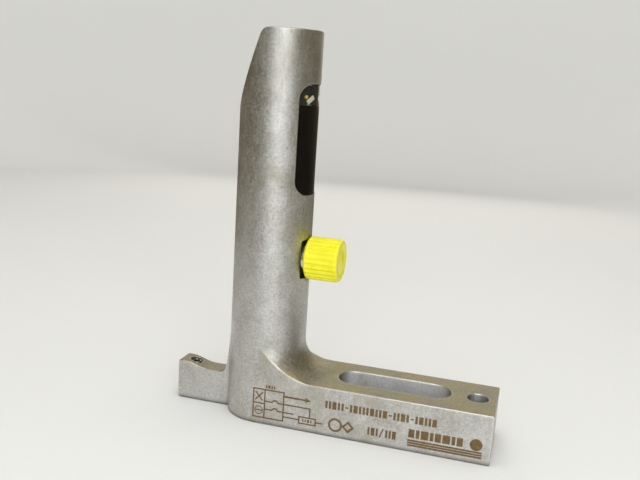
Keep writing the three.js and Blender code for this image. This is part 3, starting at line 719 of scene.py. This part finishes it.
def foot_solid():
    """The foot with the turned fillet over it, drawn on lines that leave the tower's axis."""
    width, inner = TOWER_RADIUS, TOWER_RADIUS - 1.5
    reach, top = TOWER_RADIUS + ROOT_FILLET, FOOT_HEIGHT + ROOT_FILLET
    side_turn = asin(width / reach)
    side_steps, front_steps, arc_steps = 36, 30, 26
    turns = [*np.linspace(-QUARTER, -side_turn, side_steps + 1),
             *np.linspace(-side_turn, side_turn, front_steps + 1)[1:],
             *np.linspace(side_turn, QUARTER, side_steps + 1)[1:]]

    verts, rows = [], []
    for turn in turns:
        end = min(reach, width / max(abs(sin(turn)), 1e-9))
        end_angle = acos(1 - (end - TOWER_RADIUS) / ROOT_FILLET)
        row = [(inner, top)]
        for angle in (end_angle * j / arc_steps for j in range(arc_steps + 1)):
            row.append((reach - ROOT_FILLET * cos(angle), top - ROOT_FILLET * sin(angle)))
        rows.append(range(len(verts), len(verts) + len(row)))
        verts += [(r * cos(turn), r * sin(turn), z) for r, z in row]

    faces = [tuple(row[0] for row in rows)]
    for a, b in zip(rows, rows[1:]):
        faces += [(a[j], a[j + 1], b[j + 1], b[j]) for j in range(arc_steps + 1)]
    near_low, far_low, end_near_low, end_near_top, end_far_low, end_far_top = range(
        len(verts), len(verts) + 6)
    verts += [(0, -width, 0), (0, width, 0)]
    verts += [(FOOT_END_X, y, z) for y in (-width, width) for z in (0, FOOT_HEIGHT)]
    rim = [row[-1] for row in rows]
    near_rim = rim[: side_steps + 1]
    front_rim = rim[side_steps : side_steps + front_steps + 1]
    far_rim = rim[side_steps + front_steps :]
    faces += [
        (*front_rim, end_far_top, end_near_top),
        (*near_rim, end_near_top, end_near_low, near_low),
        (*far_rim, far_low, end_far_low, end_far_top),
        (end_near_low, end_near_top, end_far_top, end_far_low),
        (near_low, end_near_low, end_far_low, far_low),
        (near_low, rim[0], rows[0][0], rows[-1][0], rim[-1], far_low),
    ]
    clear_of_tower = 2.5
    return round_edges(solid("foot", verts, faces), EDGE, 3, 12,
                       lambda edge: min(v.co.x for v in edge.verts) > clear_of_tower)


def bezier(points, steps):
    """Points of a cubic curve through its four control points."""
    a, b, c, d = (np.array(p, float) for p in points)
    return [
        tuple((1 - t) ** 3 * a + 3 * (1 - t) ** 2 * t * b + 3 * (1 - t) * t * t * c + t**3 * d)
        for t in np.linspace(0, 1, steps + 1)
    ]


def lug_solid():
    """The lug, drawn as rounded cross-sections from its end to inside the tower."""
    rise = (LUG_WAIST_START_X - LUG_LAND_END_X) * 0.4
    upper, lower = LUG_UPPER_CORNER, LUG_LOWER_CORNER
    crest = arc((LUG_END_X + upper, LUG_LAND_Z - upper), upper, 180, 90, 8)
    crest += bezier([
        (LUG_LAND_END_X, LUG_LAND_Z), (LUG_LAND_END_X + rise, LUG_LAND_Z),
        (LUG_WAIST_START_X - rise, LUG_WAIST_Z), (LUG_WAIST_START_X, LUG_WAIST_Z),
    ], 20)
    crest += bezier([
        (LUG_WAIST_END_X, LUG_WAIST_Z), (-TOWER_RADIUS - 0.2, LUG_WAIST_Z),
        (-TOWER_RADIUS - 0.6, LUG_WAIST_Z + 4), (-TOWER_RADIUS + 0.6, LUG_ROOT_TOP_Z),
    ], 28)
    sole = arc((LUG_END_X + lower, lower), lower, 180, 270, 10) + [(0, 0)]
    centre_y = LUG_HALF_WIDTH + LUG_SIDE_FILLET
    centre_x = -sqrt((TOWER_RADIUS + LUG_SIDE_FILLET) ** 2 - centre_y**2)
    inside_x = -12.5

    def half_width(x):
        if x < LUG_END_X + EDGE:
            return LUG_HALF_WIDTH - EDGE + sqrt(max(EDGE**2 - (LUG_END_X + EDGE - x) ** 2, 0))
        across = min(max(x - centre_x, 0), LUG_SIDE_FILLET * 0.999)
        return centre_y - sqrt(LUG_SIDE_FILLET**2 - across**2)

    end_rounding = [LUG_END_X + EDGE * (1 - cos(a)) for a in np.linspace(0, pi / 2, 5)]
    flare = list(np.linspace(centre_x, inside_x, 14))
    stations = sorted({round(x, 4) for x in
                       [p[0] for p in crest] + [p[0] for p in sole[:-1]] + end_rounding + flare})
    crest_x, crest_z = zip(*crest)
    sole_x, sole_z = zip(*sole)
    loops = []
    for x in stations:
        high = float(np.interp(x, crest_x, crest_z))
        low = float(np.interp(x, sole_x, sole_z))
        side = half_width(x)
        outline = rounded_rectangle((-side, low), (side, high), min(EDGE, side / 2), 3)
        loops.append([(x, y, z) for y, z in outline])
    return loft("lug", loops)


def through_hole(name, outline_of, low, high):
    """A cutter for a hole chamfered at both faces. outline_of gives its outline at an offset."""
    c, beyond = HOLE_CHAMFER, 1.0
    levels = [(low - beyond, c + beyond), (low + c, 0), (high - c, 0), (high + beyond, c + beyond)]
    return loft(name, [[(x, y, z) for x, y in outline_of(offset)] for z, offset in levels])


def tapping_cutter():
    """A rod along Z whose surface is the thread of the lug's tapped hole."""
    low, high = -1, LUG_LAND_Z + 1
    count = int((high - low) / LUG_THREAD_PITCH * 6)

    def radius_at(row, turn):
        phase = (row[1] / LUG_THREAD_PITCH - turn) % 1
        return row[0] + LUG_THREAD_DEPTH * abs(2 * phase - 1)

    rows = [(LUG_HOLE_RADIUS - 0.02, low + (high - low) * i / count) for i in range(count + 1)]
    return turned_z("tapping", rows, 36, LUG_HOLE_X, radius_at)


def cut_window_and_pocket(body):
    """The window's recess, the opening in its floor, and the pocket round the connector."""
    window = (-WINDOW_HALF_WIDTH, WINDOW_LOW_Z), (WINDOW_HALF_WIDTH, WINDOW_HIGH_Z)
    seal = (SEAL_LOW.y, SEAL_LOW.z), (SEAL_HIGH.y, SEAL_HIGH.z)
    ledge, outside, inset = WINDOW_LEDGE_X, TOWER_RADIUS + BEYOND, WINDOW_OPENING_INSET
    for name, (low, high), within, corner, steps, start, end in (
        ("window", window, 0, WINDOW_CORNER, 20, ledge, outside),
        ("opening", window, inset, WINDOW_CORNER - inset, 10, 0, ledge + BEYOND),
        ("pocket", seal, -POCKET_CLEARANCE, POCKET_CORNER, 6, POCKET_FLOOR_X, outside),
    ):
        outline = rounded_rectangle((low[0] + within, low[1] + within),
                                    (high[0] - within, high[1] - within), corner, steps)
        combine(body, prism_x(name, outline, start, end))


def make_housing():
    body = combine(tower_solid(), slope_cutter())
    combine(body, foot_solid(), "UNION")
    combine(body, lug_solid(), "UNION")
    combine(body, turned_z("bore", [
        (BORE_RADIUS + 0.3 + BEYOND, -BEYOND), (BORE_RADIUS, 0.3), (BORE_RADIUS, BORE_TOP_Z),
        (UPPER_BORE_RADIUS, BORE_TOP_Z), (UPPER_BORE_RADIUS, UPPER_BORE_TOP_Z),
    ], 96))
    cut_window_and_pocket(body)
    combine(body, turned_x("connector_hole", [
        (CONNECTOR_HOLE_RADIUS, 0), (CONNECTOR_HOLE_RADIUS, TOWER_RADIUS)], 64))

    def slot_outline(offset):
        radius = SLOT_RADIUS + offset
        return (arc((SLOT_FAR_X, 0), radius, -90, 90, 32)
                + arc((SLOT_NEAR_X, 0), radius, 90, 270, 32))

    def dowel_outline(offset):
        return [(DOWEL_X + a, b) for a, b in circle(DOWEL_RADIUS + offset, 64)]

    combine(body, through_hole("slot", slot_outline, 0, FOOT_HEIGHT))
    combine(body, through_hole("dowel", dowel_outline, 0, FOOT_HEIGHT))
    combine(body, tapping_cutter())
    combine(body, turned_z("countersink", [
        (LUG_HOLE_RADIUS, LUG_LAND_Z - 0.4), (LUG_HOLE_RADIUS + 1.4, LUG_LAND_Z + 1)],
        40, LUG_HOLE_X))
    for vertex in body.data.vertices:
        if vertex.co.z < FOOT_HEIGHT + ROOT_FILLET and vertex.co.y < MARK_BED_Y:
            vertex.co.y = MARK_BED_Y
    body.name = "housing_body"
    finish(body, "housing_steel", ["housing"], angle=24)
    crease_plane(body, Vector((-cos(SLOPE_ANGLE), 0, sin(SLOPE_ANGLE))))


# ---- window

def pane(name, low_z, high_z, round_low, round_high):
    """A pane on the tower's curve with a rounded front rim, and round corners at one end."""
    skin, back, half = FILTER_HIGH.x, FILTER_LOW.x, FILTER_HIGH.y
    corner_steps, middle_steps = 14, 40

    def edge_line(inset, z, sign, is_round):
        """(y, z) points from left to right along the lower or upper edge."""
        side = half - inset
        radius = WINDOW_CORNER - WINDOW_CLEARANCE - inset if is_round else 0
        left = [(-side + radius * (1 + cos(a)), z + sign * (inset + radius * (1 - sin(a))))
                for a in np.linspace(pi, QUARTER, corner_steps + 1)]
        right = [(-y, q) for y, q in reversed(left)]
        middle = np.linspace(-side + radius, side - radius, middle_steps + 1)[1:-1]
        return left + [(y, left[-1][1]) for y in middle] + right

    def ring(inset, x_of):
        lines = edge_line(inset, low_z, 1, round_low) + edge_line(inset, high_z, -1, round_high)
        return [(x_of(y), y, z) for y, z in lines]

    def front(depth):
        return lambda y: sqrt(skin**2 - y**2) - depth

    rims = [ring(0, lambda y: back)]
    for angle in np.linspace(0, QUARTER, 5):
        rims.append(ring(PANE_RIM * (1 - cos(angle)), front(PANE_RIM * (1 - sin(angle)))))
    stride = len(rims[0])
    count = stride // 2
    loop = list(range(count)) + list(range(stride - 1, count - 1, -1))
    faces = []
    for a in range(0, (len(rims) - 1) * stride, stride):
        for i, j in zip(loop, loop[1:] + loop[:1]):
            faces.append((a + i, a + j, a + stride + j, a + stride + i))
    last = (len(rims) - 1) * stride
    for i in range(count - 1):
        faces.append((last + i, last + i + 1, last + count + i + 1, last + count + i))
        faces.append((i, count + i, count + i + 1, i + 1))
    return solid(name, [point for points in rims for point in points], faces)


def make_window():
    lower = pane("filter_pane", FILTER_LOW.z, LENS_LOW.z - PANE_GAP, True, False)
    finish(lower, "filter_plastic", ["filter_window"], angle=40)
    upper = pane("indicator_pane", LENS_LOW.z, LENS_HIGH.z, False, True)
    finish(upper, "clear_lens", ["indicator_lens"], angle=40)


# ---- indicator

def dome(radius, base, rise, steps):
    """The profile of a dome that stands on a base and rises along X."""
    return [(radius * cos(a), base + rise * sin(a)) for a in np.linspace(0, QUARTER, steps)]


def make_indicator():
    """The indicator's LED with its dome and pads, and the small parts beside it on the board."""
    middle = (LED_LOW.z + LED_HIGH.z) / 2
    half_y, half_z = LED_HIGH.y, (LED_HIGH.z - LED_LOW.z) / 2
    thickness = 1.0
    body = rounded_box("status_led_body", LED_LOW.x, thickness, half_y, half_z, 0.12, z=middle)
    finish(body, "led_package", ["status_led"])
    base = LED_LOW.x + thickness - 0.05
    lamp = turned_x("status_led_dome", dome(1.15, base, LED_HIGH.x - base, 10), 32, middle)
    finish(lamp, "led_package", look="led_phosphor")
    seat = BOARD_FRONT_X - 0.01
    pads = [rounded_box("status_led_pads", seat, 0.13, 0.4, 0.9, 0.04, y, middle)
            for y in (-half_y - 0.5, half_y + 0.5)]
    finish(join(*pads), "gold_contact")
    resistors = [rounded_box("indicator_resistors", seat, 0.46, 0.55, 0.3, 0.06, y, middle + z)
                 for y, z in ((-3.6, 2.3), (3.6, 2.3), (-3.6, -2.3), (3.6, -2.3))]
    finish(join(*resistors), "component_body")


def on_core(piece, roll, turn, z):
    """Rolls a piece made on the X axis, and sets it on the core at an angle and a height."""
    rolled = Matrix.Rotation(radians(roll), 4, "X")
    turned = Matrix.Rotation(radians(turn), 4, "Z") @ rolled
    piece.data.transform(Matrix.Translation((0, 0, z)) @ turned)


def make_indicator_core():
    """The dark core inside the clear pane, with a chip, a frame and a lamp on each side."""
    reach = degrees(acos((LENS_LOW.x + 0.3) / CORE_RADIUS))
    outline = arc((0, 0), CORE_RADIUS, -reach, reach, 28)
    core = prism_z("indicator_core", outline, LENS_LOW.z + 0.06, LENS_HIGH.z - 0.3)
    finish(core, "black_plastic")
    root = CORE_RADIUS - 0.1
    chip_turn, frame_turn, roll = 17, 26.5, 32
    chip_z, frame_z = LENS_LOW.z + 1.9, LENS_LOW.z + 2.9
    for side, word in ((-1, "left"), (1, "right")):
        chip = rounded_box(f"indicator_chip_{word}", root, 0.7, 2.0, 0.85, 0.15)
        on_core(chip, -side * roll, side * chip_turn, chip_z)
        finish(chip, "led_package")
        holder = rounded_box(f"indicator_frame_{word}", root, 0.45, 1.2, 0.8, 0.12)
        on_core(holder, side * roll * 0.4, side * frame_turn, frame_z)
        finish(holder, "gold_contact")
        lamp = turned_x(f"indicator_lamp_{word}", dome(0.62, root + 0.4, 0.45, 8), 24, 0)
        on_core(lamp, 0, side * frame_turn, frame_z)
        finish(lamp, "led_package", look="led_phosphor")


# ---- connector and cap

def thread_wave(x, turn):
    """How deep the M12 thread's rounded groove is at a point on its axis and a turn, 0 to 1."""
    return 0.5 + 0.5 * cos(2 * pi * (x / CONNECTOR_PITCH - turn))


def make_shell():
    """The connector's threaded sleeve with its round collar."""
    back, front = SHELL_LOW.x, SHELL_HIGH.x
    barrel, bore = CONNECTOR_HOLE_RADIUS - 0.3, SHELL_BORE_RADIUS
    root = THREAD_RADIUS - THREAD_DEPTH
    thread_start, thread_end = COLLAR_FRONT_X + 0.5, front - 0.6
    rows = int((thread_end - thread_start) / CONNECTOR_PITCH * 10) + 1
    profile = [(barrel - 0.2, back), (barrel, back + 0.2), (barrel, COLLAR_BACK_X),
               (root, COLLAR_BACK_X), (root, COLLAR_FRONT_X + 0.4)]
    profile += [(None, x) for x in np.linspace(thread_start, thread_end, rows)]
    profile += [(root, front - 0.4), (root - 0.1, front - 0.1), (root - 0.2, front),
                (bore + 0.25, front), (bore, front - 0.25), (bore, back)]

    def radius_at(row, turn):
        radius, x = row
        if radius is not None:
            return radius
        fade = min(1, (x - thread_start) / THREAD_FADE)
        return root + fade * THREAD_DEPTH * (1 - thread_wave(x, turn) ** 0.8)

    shell = turned_x("connector_sleeve", profile, 72, radius_at=radius_at, closed=True)
    collar = turned_x("collar", [
        (COLLAR_RADIUS - 0.1, COLLAR_BACK_X), (COLLAR_RADIUS, COLLAR_BACK_X + 0.1),
        (COLLAR_RADIUS, COLLAR_FRONT_X - 0.12), (COLLAR_RADIUS - 0.12, COLLAR_FRONT_X)], 96)
    combine(collar, turned_x("hole", [
        (root - 0.1, COLLAR_BACK_X - BEYOND), (root - 0.1, COLLAR_FRONT_X + BEYOND)], 72))
    combine(shell, collar, "UNION")
    finish(shell, "nickel_brass", ["connector_shell"], angle=34)


def make_connector_seal():
    low, high = (SEAL_LOW.y, SEAL_LOW.z), (SEAL_HIGH.y, SEAL_HIGH.z)
    outline = rounded_rectangle(low, high, POCKET_CORNER, 6)
    seal = prism_x("connector_pad", outline, SEAL_LOW.x, SEAL_HIGH.x)
    combine(seal, turned_x("hole", [(CONNECTOR_HOLE_RADIUS, SEAL_LOW.x - BEYOND),
                                    (CONNECTOR_HOLE_RADIUS, SEAL_HIGH.x + BEYOND)], 64))
    finish(round_edges(seal, 0.2), "seal_rubber", ["connector_seal"])


def make_insert():
    """The plug's insulating insert with its key groove and the wells of its four contacts."""
    radius, back, front = INSERT_HIGH.y, INSERT_LOW.x, INSERT_HIGH.x
    insert = turned_x("connector_core", [(radius - 0.2, back), (radius, back + 0.2),
                                         (radius, front - 0.25), (radius - 0.25, front)], 64)
    pins = []
    for i, (low, high) in enumerate(CONTACTS, 1):
        y, z = (low.y + high.y) / 2, (low.z + high.z) / 2
        well = [(0.65, 0), (0.65, front - 0.2), (0.95, front + 0.1)]
        combine(insert, turned_x("well", well, 20, z, y))
        tip = [(r, x) for x, r in arc((high.x - 0.5, 0), 0.5, 90, 0, 6)]
        pins.append(turned_x(f"contact_{i}", [(0.5, low.x), *tip], 24, z, y))
    key_z = CONNECTOR_Z + radius
    combine(insert, box_solid("key", (front - 2, -0.55, key_z - 0.5), (front + 1, 0.55, key_z + 1)))
    finish(insert, "black_plastic", ["connector_insert"])
    for i, pin in enumerate(pins, 1):
        finish(pin, "gold_contact", [f"contact_pin_{i}"])


def make_cap():
    """The screwed cap: a plain shoulder, a ribbed barrel, a dished end and a threaded bore."""
    radius, back, front = CAP_HIGH.y, CAP_LOW.x, CAP_HIGH.x
    rim, shoulder = 7.45, back + 0.35
    bore, bore_end = 6.25, front - 2
    ribs, per_rib, groove, sharpness = 24, 12, 0.50, 1.3
    end_radius, dish = 1.1, 0.18
    end = front - end_radius
    thread_low, thread_high = back + 1.2, bore_end - 1.2
    rows = int((thread_high - thread_low) / CONNECTOR_PITCH * 8) + 1

    # Rows of radius, x and depth of ribbing, from the bore's floor round the rim to the dished end.
    profile = [(0, bore_end, 0), (bore - 0.3, bore_end, 0), (bore, bore_end - 0.3, 0)]
    profile += [(None, x, 0) for x in np.linspace(thread_high, thread_low, rows)]
    profile += [
        (bore, back + 0.7, 0), (bore + 0.35, back, 0), (rim - 0.12, back, 0),
        (rim, back + 0.12, 0.3), (rim, shoulder, 0), (radius - 0.4, shoulder + 0.02, 0),
        (radius - 0.15, shoulder + 0.15, 0), (radius - 0.05, shoulder + 0.4, 0),
        (radius, shoulder + 0.7, 0.3), (radius, shoulder + 1.0, 1),
    ]
    profile += [(radius, x, 1) for x in np.linspace(shoulder + 1.6, end - 0.9, 5)]
    profile += [(radius, end - 0.35, 0.75), (radius, end, 0.35)]
    for turn in (radians(angle) for angle in np.linspace(12, 90, 7)):
        profile.append((radius - end_radius * (1 - cos(turn)),
                        front - end_radius * (1 - sin(turn)), 0.35 * cos(turn) ** 2))
    profile += [(radius - end_radius - 0.5, front, 0), (radius - end_radius - 0.9, front - dish, 0),
                (1.0, front - dish, 0), (0.8, front - dish + 0.12, 0), (0, front - dish + 0.14, 0)]

    def radius_at(row, turn):
        base, x, ribbing = row
        if base is None:
            fade = min(1, (x - thread_low) / THREAD_FADE, (thread_high - x) / THREAD_FADE)
            return bore - CAP_THREAD_DEPTH * fade * thread_wave(x, turn)
        wave = 0.5 - 0.5 * cos(2 * pi * ribs * turn)
        return max(base, WELD / 10) - groove * ribbing * wave**sharpness

    cap = turned_x("cap_shell", profile, ribs * per_rib, radius_at=radius_at)
    finish(cap, "yellow_plastic", ["protective_cap"], body="cap", angle=50, even=False)


# ---- screw and disc

def make_set_screw():
    """The lug's set screw with its hexagon socket."""
    radius, low, high = SCREW_HIGH.x - LUG_HOLE_X, SCREW_LOW.z, SCREW_HIGH.z
    screw = turned_z("set_screw", [
        (0, low + 0.5), (radius - 0.9, low), (radius - 0.4, low), (radius, low + 0.4),
        (radius, high - 0.35), (radius - 0.15, high - 0.1), (radius - 0.35, high)], 48, LUG_HOLE_X)
    corner = 1.25 / cos(pi / 6)
    hexagon = [(LUG_HOLE_X + a, b) for a, b in circle(corner, 6, radians(15))]
    combine(screw, prism_z("socket", hexagon, high - 3, high + 1))
    combine(screw, turned_z("lead_in", [(1.1, high - 0.35), (1.9, high + 0.45)], 48, LUG_HOLE_X))
    finish(screw, "screw_steel", ["lug_set_screw"])


def make_closing_disc():
    """The disc that closes the bore, with a groove for its seal and two holes for a pin wrench."""
    radius, top = DISC_HIGH.x, DISC_HIGH.z
    groove_radius, groove_low, groove_high = 8.0, 1.5, 3.3
    disc = turned_z("base_disc", [
        (radius - 0.3, 0), (radius, 0.3), (radius, groove_low), (groove_radius, groove_low),
        (groove_radius, groove_high), (radius, groove_high),
        (radius, top - 0.2), (radius - 0.2, top)], 96)
    for x in (-5, 5):
        combine(disc, turned_z("pin_hole", [(2.1, -1), (0.9, 0.2), (0.9, 2), (0, 2.5)], 32, x))
    finish(disc, "turned_steel", ["closing_disc"])


# ---- marks on the foot's near side
# Points of a mark are (x, z) in millimetres from the tower's axis and the foot's underside.

def ticks(x, z, height, widths, gap=0.5):
    """A row of upright bars of these widths, with equal gaps, standing on the line z."""
    outlines = []
    for width in widths:
        outlines.append(rectangle((x, z), (x + width, z + height)))
        x += width + gap
    return outlines


def stroke(points, width):
    """Straight strokes of constant width along points, one outline for each."""
    outlines = []
    for (x0, z0), (x1, z1) in zip(points, points[1:]):
        u, v = Vector((x1 - x0, z1 - z0)).normalized() * (width / 2)
        outlines.append([(x0 - u + v, z0 - v - u), (x1 + u + v, z1 + v - u),
                         (x1 + u - v, z1 + v + u), (x0 - u - v, z0 - v + u)])
    return outlines


def ring_outline(centre, radius, steps):
    return [(centre[0] + a, centre[1] + b) for a, b in circle(radius, steps)]


def loop_stroke(centre, radius, steps, width):
    """A stroke round a regular figure."""
    ring = ring_outline(centre, radius, steps)
    return stroke(ring + ring[:1], width)


def mark_piece(name, outlines, merged=False):
    """Thin plates of these outlines, a hair proud of the foot's near side, in one piece."""
    first, *others = [prism_y(name, outline, MARK_BED_Y - MARK_RISE, MARK_BED_Y + MARK_ROOT)
                      for outline in outlines]
    if merged:
        for other in others:
            combine(first, other, "UNION")
    else:
        join(first, *others)
    finish(first, "housing_steel", look="laser_mark", even=False)


def make_wiring_mark():
    """A plain wiring sketch: a frame with two cells, three leads and a load."""
    left, right, bottom, top, inner, middle = 0.4, 12.7, 2.7, 14.3, 5.0, 8.5
    upper, second, third, load_z = 12.8, 9.6, 6.3, 4.5
    load_left, load_right, load_low, load_top = 19.2, 25.8, 3.2, 5.8
    line, heavy, thin = 0.56, 0.75, 0.34
    kink = ((8.0, 0.0), (8.8, 0.8), (9.8, 0.8), (10.6, 0.0))
    outlines = []
    for points in (
        [(left, top), (right, top), (right, bottom), (left, bottom), (left, top)],
        [(inner, top), (inner, bottom)],
        [(left, middle), (inner, middle)],
        [(inner, second), *((x, second + z) for x, z in kink), (right, second),
         (23.4, second), (23.4, 6.0)],
        [(inner, third), *((x, third + z) for x, z in kink), (right, third), (16.6, third)],
        [(right, load_z), (load_left, load_z)],
        [(load_left, load_low), (load_right, load_low), (load_right, load_top),
         (load_left, load_top), (load_left, load_low)],
        [(load_right, load_z), (28.4, load_z)],
        [(1.3, 12.9), (4.0, 9.9)],
        [(1.3, 9.9), (4.0, 12.9)],
        [(1.6, 5.6), (3.8, 5.6)],
    ):
        outlines += stroke(points, line)
    outlines += stroke([(right, upper), (21.6, upper)], heavy)
    outlines.append([(21.4, upper - 1.0), (23.6, upper), (21.4, upper + 1.0)])
    outlines += loop_stroke((2.7, 5.6), 1.6, 20, thin)
    outlines += ticks(5.2, 15.0, 1.3, (0.6, 0.9, 0.6, 0.6), 0.4)
    outlines += ticks(20.6, 3.9, 1.2, (0.5, 0.5, 0.9, 0.5), 0.45)
    mark_piece("wiring_mark", outlines, True)


def make_code_marks():
    """Rows of plain ticks and two plain figures, in place of lettering and signs."""
    narrow, wide, x, base = 0.9, 1.6, 29.3, 11.2
    outlines = []
    for pattern in ("--=--", "-=---=--=", "--=-", "-=--="):
        if outlines:
            outlines.append(rectangle((x + 0.1, base + 1.2), (x + 1.3, base + 1.8)))
            x += 1.9
        widths = [wide if letter == "=" else narrow for letter in pattern]
        outlines += ticks(x, base, 3.0, widths)
        x += sum(widths) + 0.5 * len(widths)
    low, tall = 3.6, 3.1
    outlines += ticks(46.2, low, tall, (0.8, 1.4, 0.8))
    outlines += stroke([(50.9, low), (52.0, low + tall)], 0.55)
    outlines += ticks(53.0, low, tall, (0.8, 0.8, 1.4))
    mark_piece("code_mark", outlines)
    figures = loop_stroke((33.6, 5.0), 2.35, 28, 0.75) + loop_stroke((38.6, 5.0), 1.9, 4, 0.75)
    mark_piece("sign_mark", figures, True)


def make_maker_mark():
    """Plain blocks and a disc over three plain stripes, in place of a name."""
    outlines = ticks(61.6, 5.6, 3.3, (2.2, 1.3, 2.8, 1.3, 2.2, 2.8, 1.3, 2.2), 0.55)
    outlines.append(ring_outline((86.3, 7.3), 2.3, 32))
    outlines += [rectangle((61.4, z), (88.6, z + 0.75)) for z in (2.2, 3.15, 4.1)]
    mark_piece("maker_mark", outlines)


# ---- stage, light and camera

NEAR_FLOOR = 300.0
STAGE_RADIUS = 900.0
STAGE_BEND = 160.0
STAGE_TOP = 760.0
PAPER = (0.785, 0.785, 0.78)
WORLD_COLOUR, WORLD_STRENGTH = (0.60, 0.51, 0.30), 0.26

# Name, azimuth, elevation, distance, size, watts, colour, target, and whether steel mirrors it.
LIGHTS = (
    ("overhead", 10, 80, 1000, (700, 500), 3.3, (1.0, 1.0, 1.0), (20, 60, 0), True),
    ("key", 18, 18, 700, (580, 520), 2.6, (0.935, 0.968, 1.0), (20, 0, 75), True),
    ("back", 188, 14, 700, (720, 300), 0.54, (1.0, 0.96, 0.84), (20, 0, 75), True),
    ("wash", 0, 90, 800, (1200, 1200), 3.2, (0.955, 0.98, 1.0), (0, 0, 0), False),
)


def stage_material(name, colour):
    made, tree, shader = new_material(name)
    tone = noise(tree, in_mm(tree), 0.004, 2)
    dark = tuple(c * 0.985 for c in colour)
    feed(tree, shader, {"Base Color": ramp(tree, tone, 0.3, 0.7, dark, colour),
                        "Roughness": 0.7, "Specular IOR Level": 0.2})
    return made


def stage_piece(name, profile, material):
    """A stage surface turned from (radius, height) points about the tower's axis."""
    steps = 96
    verts = [Vector((a, b, z)) * MM for r, z in profile for a, b in circle(r, steps)]
    faces = []
    for k in range(0, (len(profile) - 1) * steps, steps):
        for i in range(steps):
            j = (i + 1) % steps
            faces.append((k + i, k + j, k + steps + j, k + steps + i))
    piece = add_object(name, new_mesh(name, verts, faces))
    piece.data.materials.append(material)
    smooth(piece, 60)
    return piece


def make_stage():
    """A pale floor that curves up into a round wall. The steel mirrors only the near floor."""
    paper = stage_material("stage_paper", PAPER)
    stage_piece("near_floor", [(0, 0), (NEAR_FLOOR, 0)], paper)
    bend = arc((STAGE_RADIUS - STAGE_BEND, STAGE_BEND), STAGE_BEND, -90, 0, 16)
    surround = stage_piece("surround", [(NEAR_FLOOR, 0), *bend, (STAGE_RADIUS, STAGE_TOP)], paper)
    surround.visible_glossy = False
    surround.visible_transmission = False


def direction(azimuth, elevation):
    """The way from the object to a viewer or a lamp at these angles in degrees."""
    a, e = radians(azimuth), radians(elevation)
    return Vector((sin(a) * cos(e), -cos(a) * cos(e), sin(e)))


def area_light(name, azimuth, elevation, distance, size, watts, colour, target, glossy):
    """A soft light that looks at target from an azimuth and elevation in degrees."""
    data = bpy.data.lights.new(name, "AREA")
    data.shape = "RECTANGLE"
    data.size, data.size_y = (s * MM for s in size)
    data.energy = watts
    data.color = colour
    light = add_object(name, data)
    back = direction(azimuth, elevation)
    light.location = (Vector(target) + back * distance) * MM
    light.rotation_mode = "QUATERNION"
    light.rotation_quaternion = back.to_track_quat("Z", "Y")
    light.visible_camera = False
    light.visible_glossy = glossy


def make_light():
    """A warm dim world, soft lights above, in front and behind, and a wash that isn't mirrored."""
    world = bpy.data.worlds.new("studio")
    bpy.context.scene.world = world
    world.use_nodes = True
    background = world.node_tree.nodes["Background"]
    background.inputs["Color"].default_value = rgba(WORLD_COLOUR)
    background.inputs["Strength"].default_value = WORLD_STRENGTH
    for row in LIGHTS:
        area_light(*row)


def make_camera():
    azimuth, elevation, roll = 15.545, 11.641, radians(3.657)
    distance, aim_shift = 297.24, Vector((-7.7, -2.6, -2.1))
    centre = Vector(((LUG_END_X + FOOT_END_X) / 2, 0, TOWER_HEIGHT / 2))
    data = bpy.data.cameras.new("camera")
    data.sensor_width = 36
    data.lens = 43.88
    data.clip_start, data.clip_end = 0.01, 20
    back = direction(azimuth, elevation)
    right = Vector((0, 0, 1)).cross(back).normalized()
    up = back.cross(right)
    across = cos(roll) * right + sin(roll) * up
    upward = cos(roll) * up - sin(roll) * right
    turn = Matrix((across, upward, back)).transposed().to_4x4()
    camera = add_object("camera", data)
    camera.matrix_world = Matrix.Translation((centre + aim_shift + back * distance) * MM) @ turn
    bpy.context.scene.camera = camera
    bpy.context.scene.view_settings.view_transform = "Standard"


dress_cad_nodes()
make_housing()
make_window()
make_indicator()
make_indicator_core()
make_shell()
make_connector_seal()
make_insert()
make_cap()
make_set_screw()
make_closing_disc()
make_wiring_mark()
make_code_marks()
make_maker_mark()
make_stage()
make_light()
make_camera()
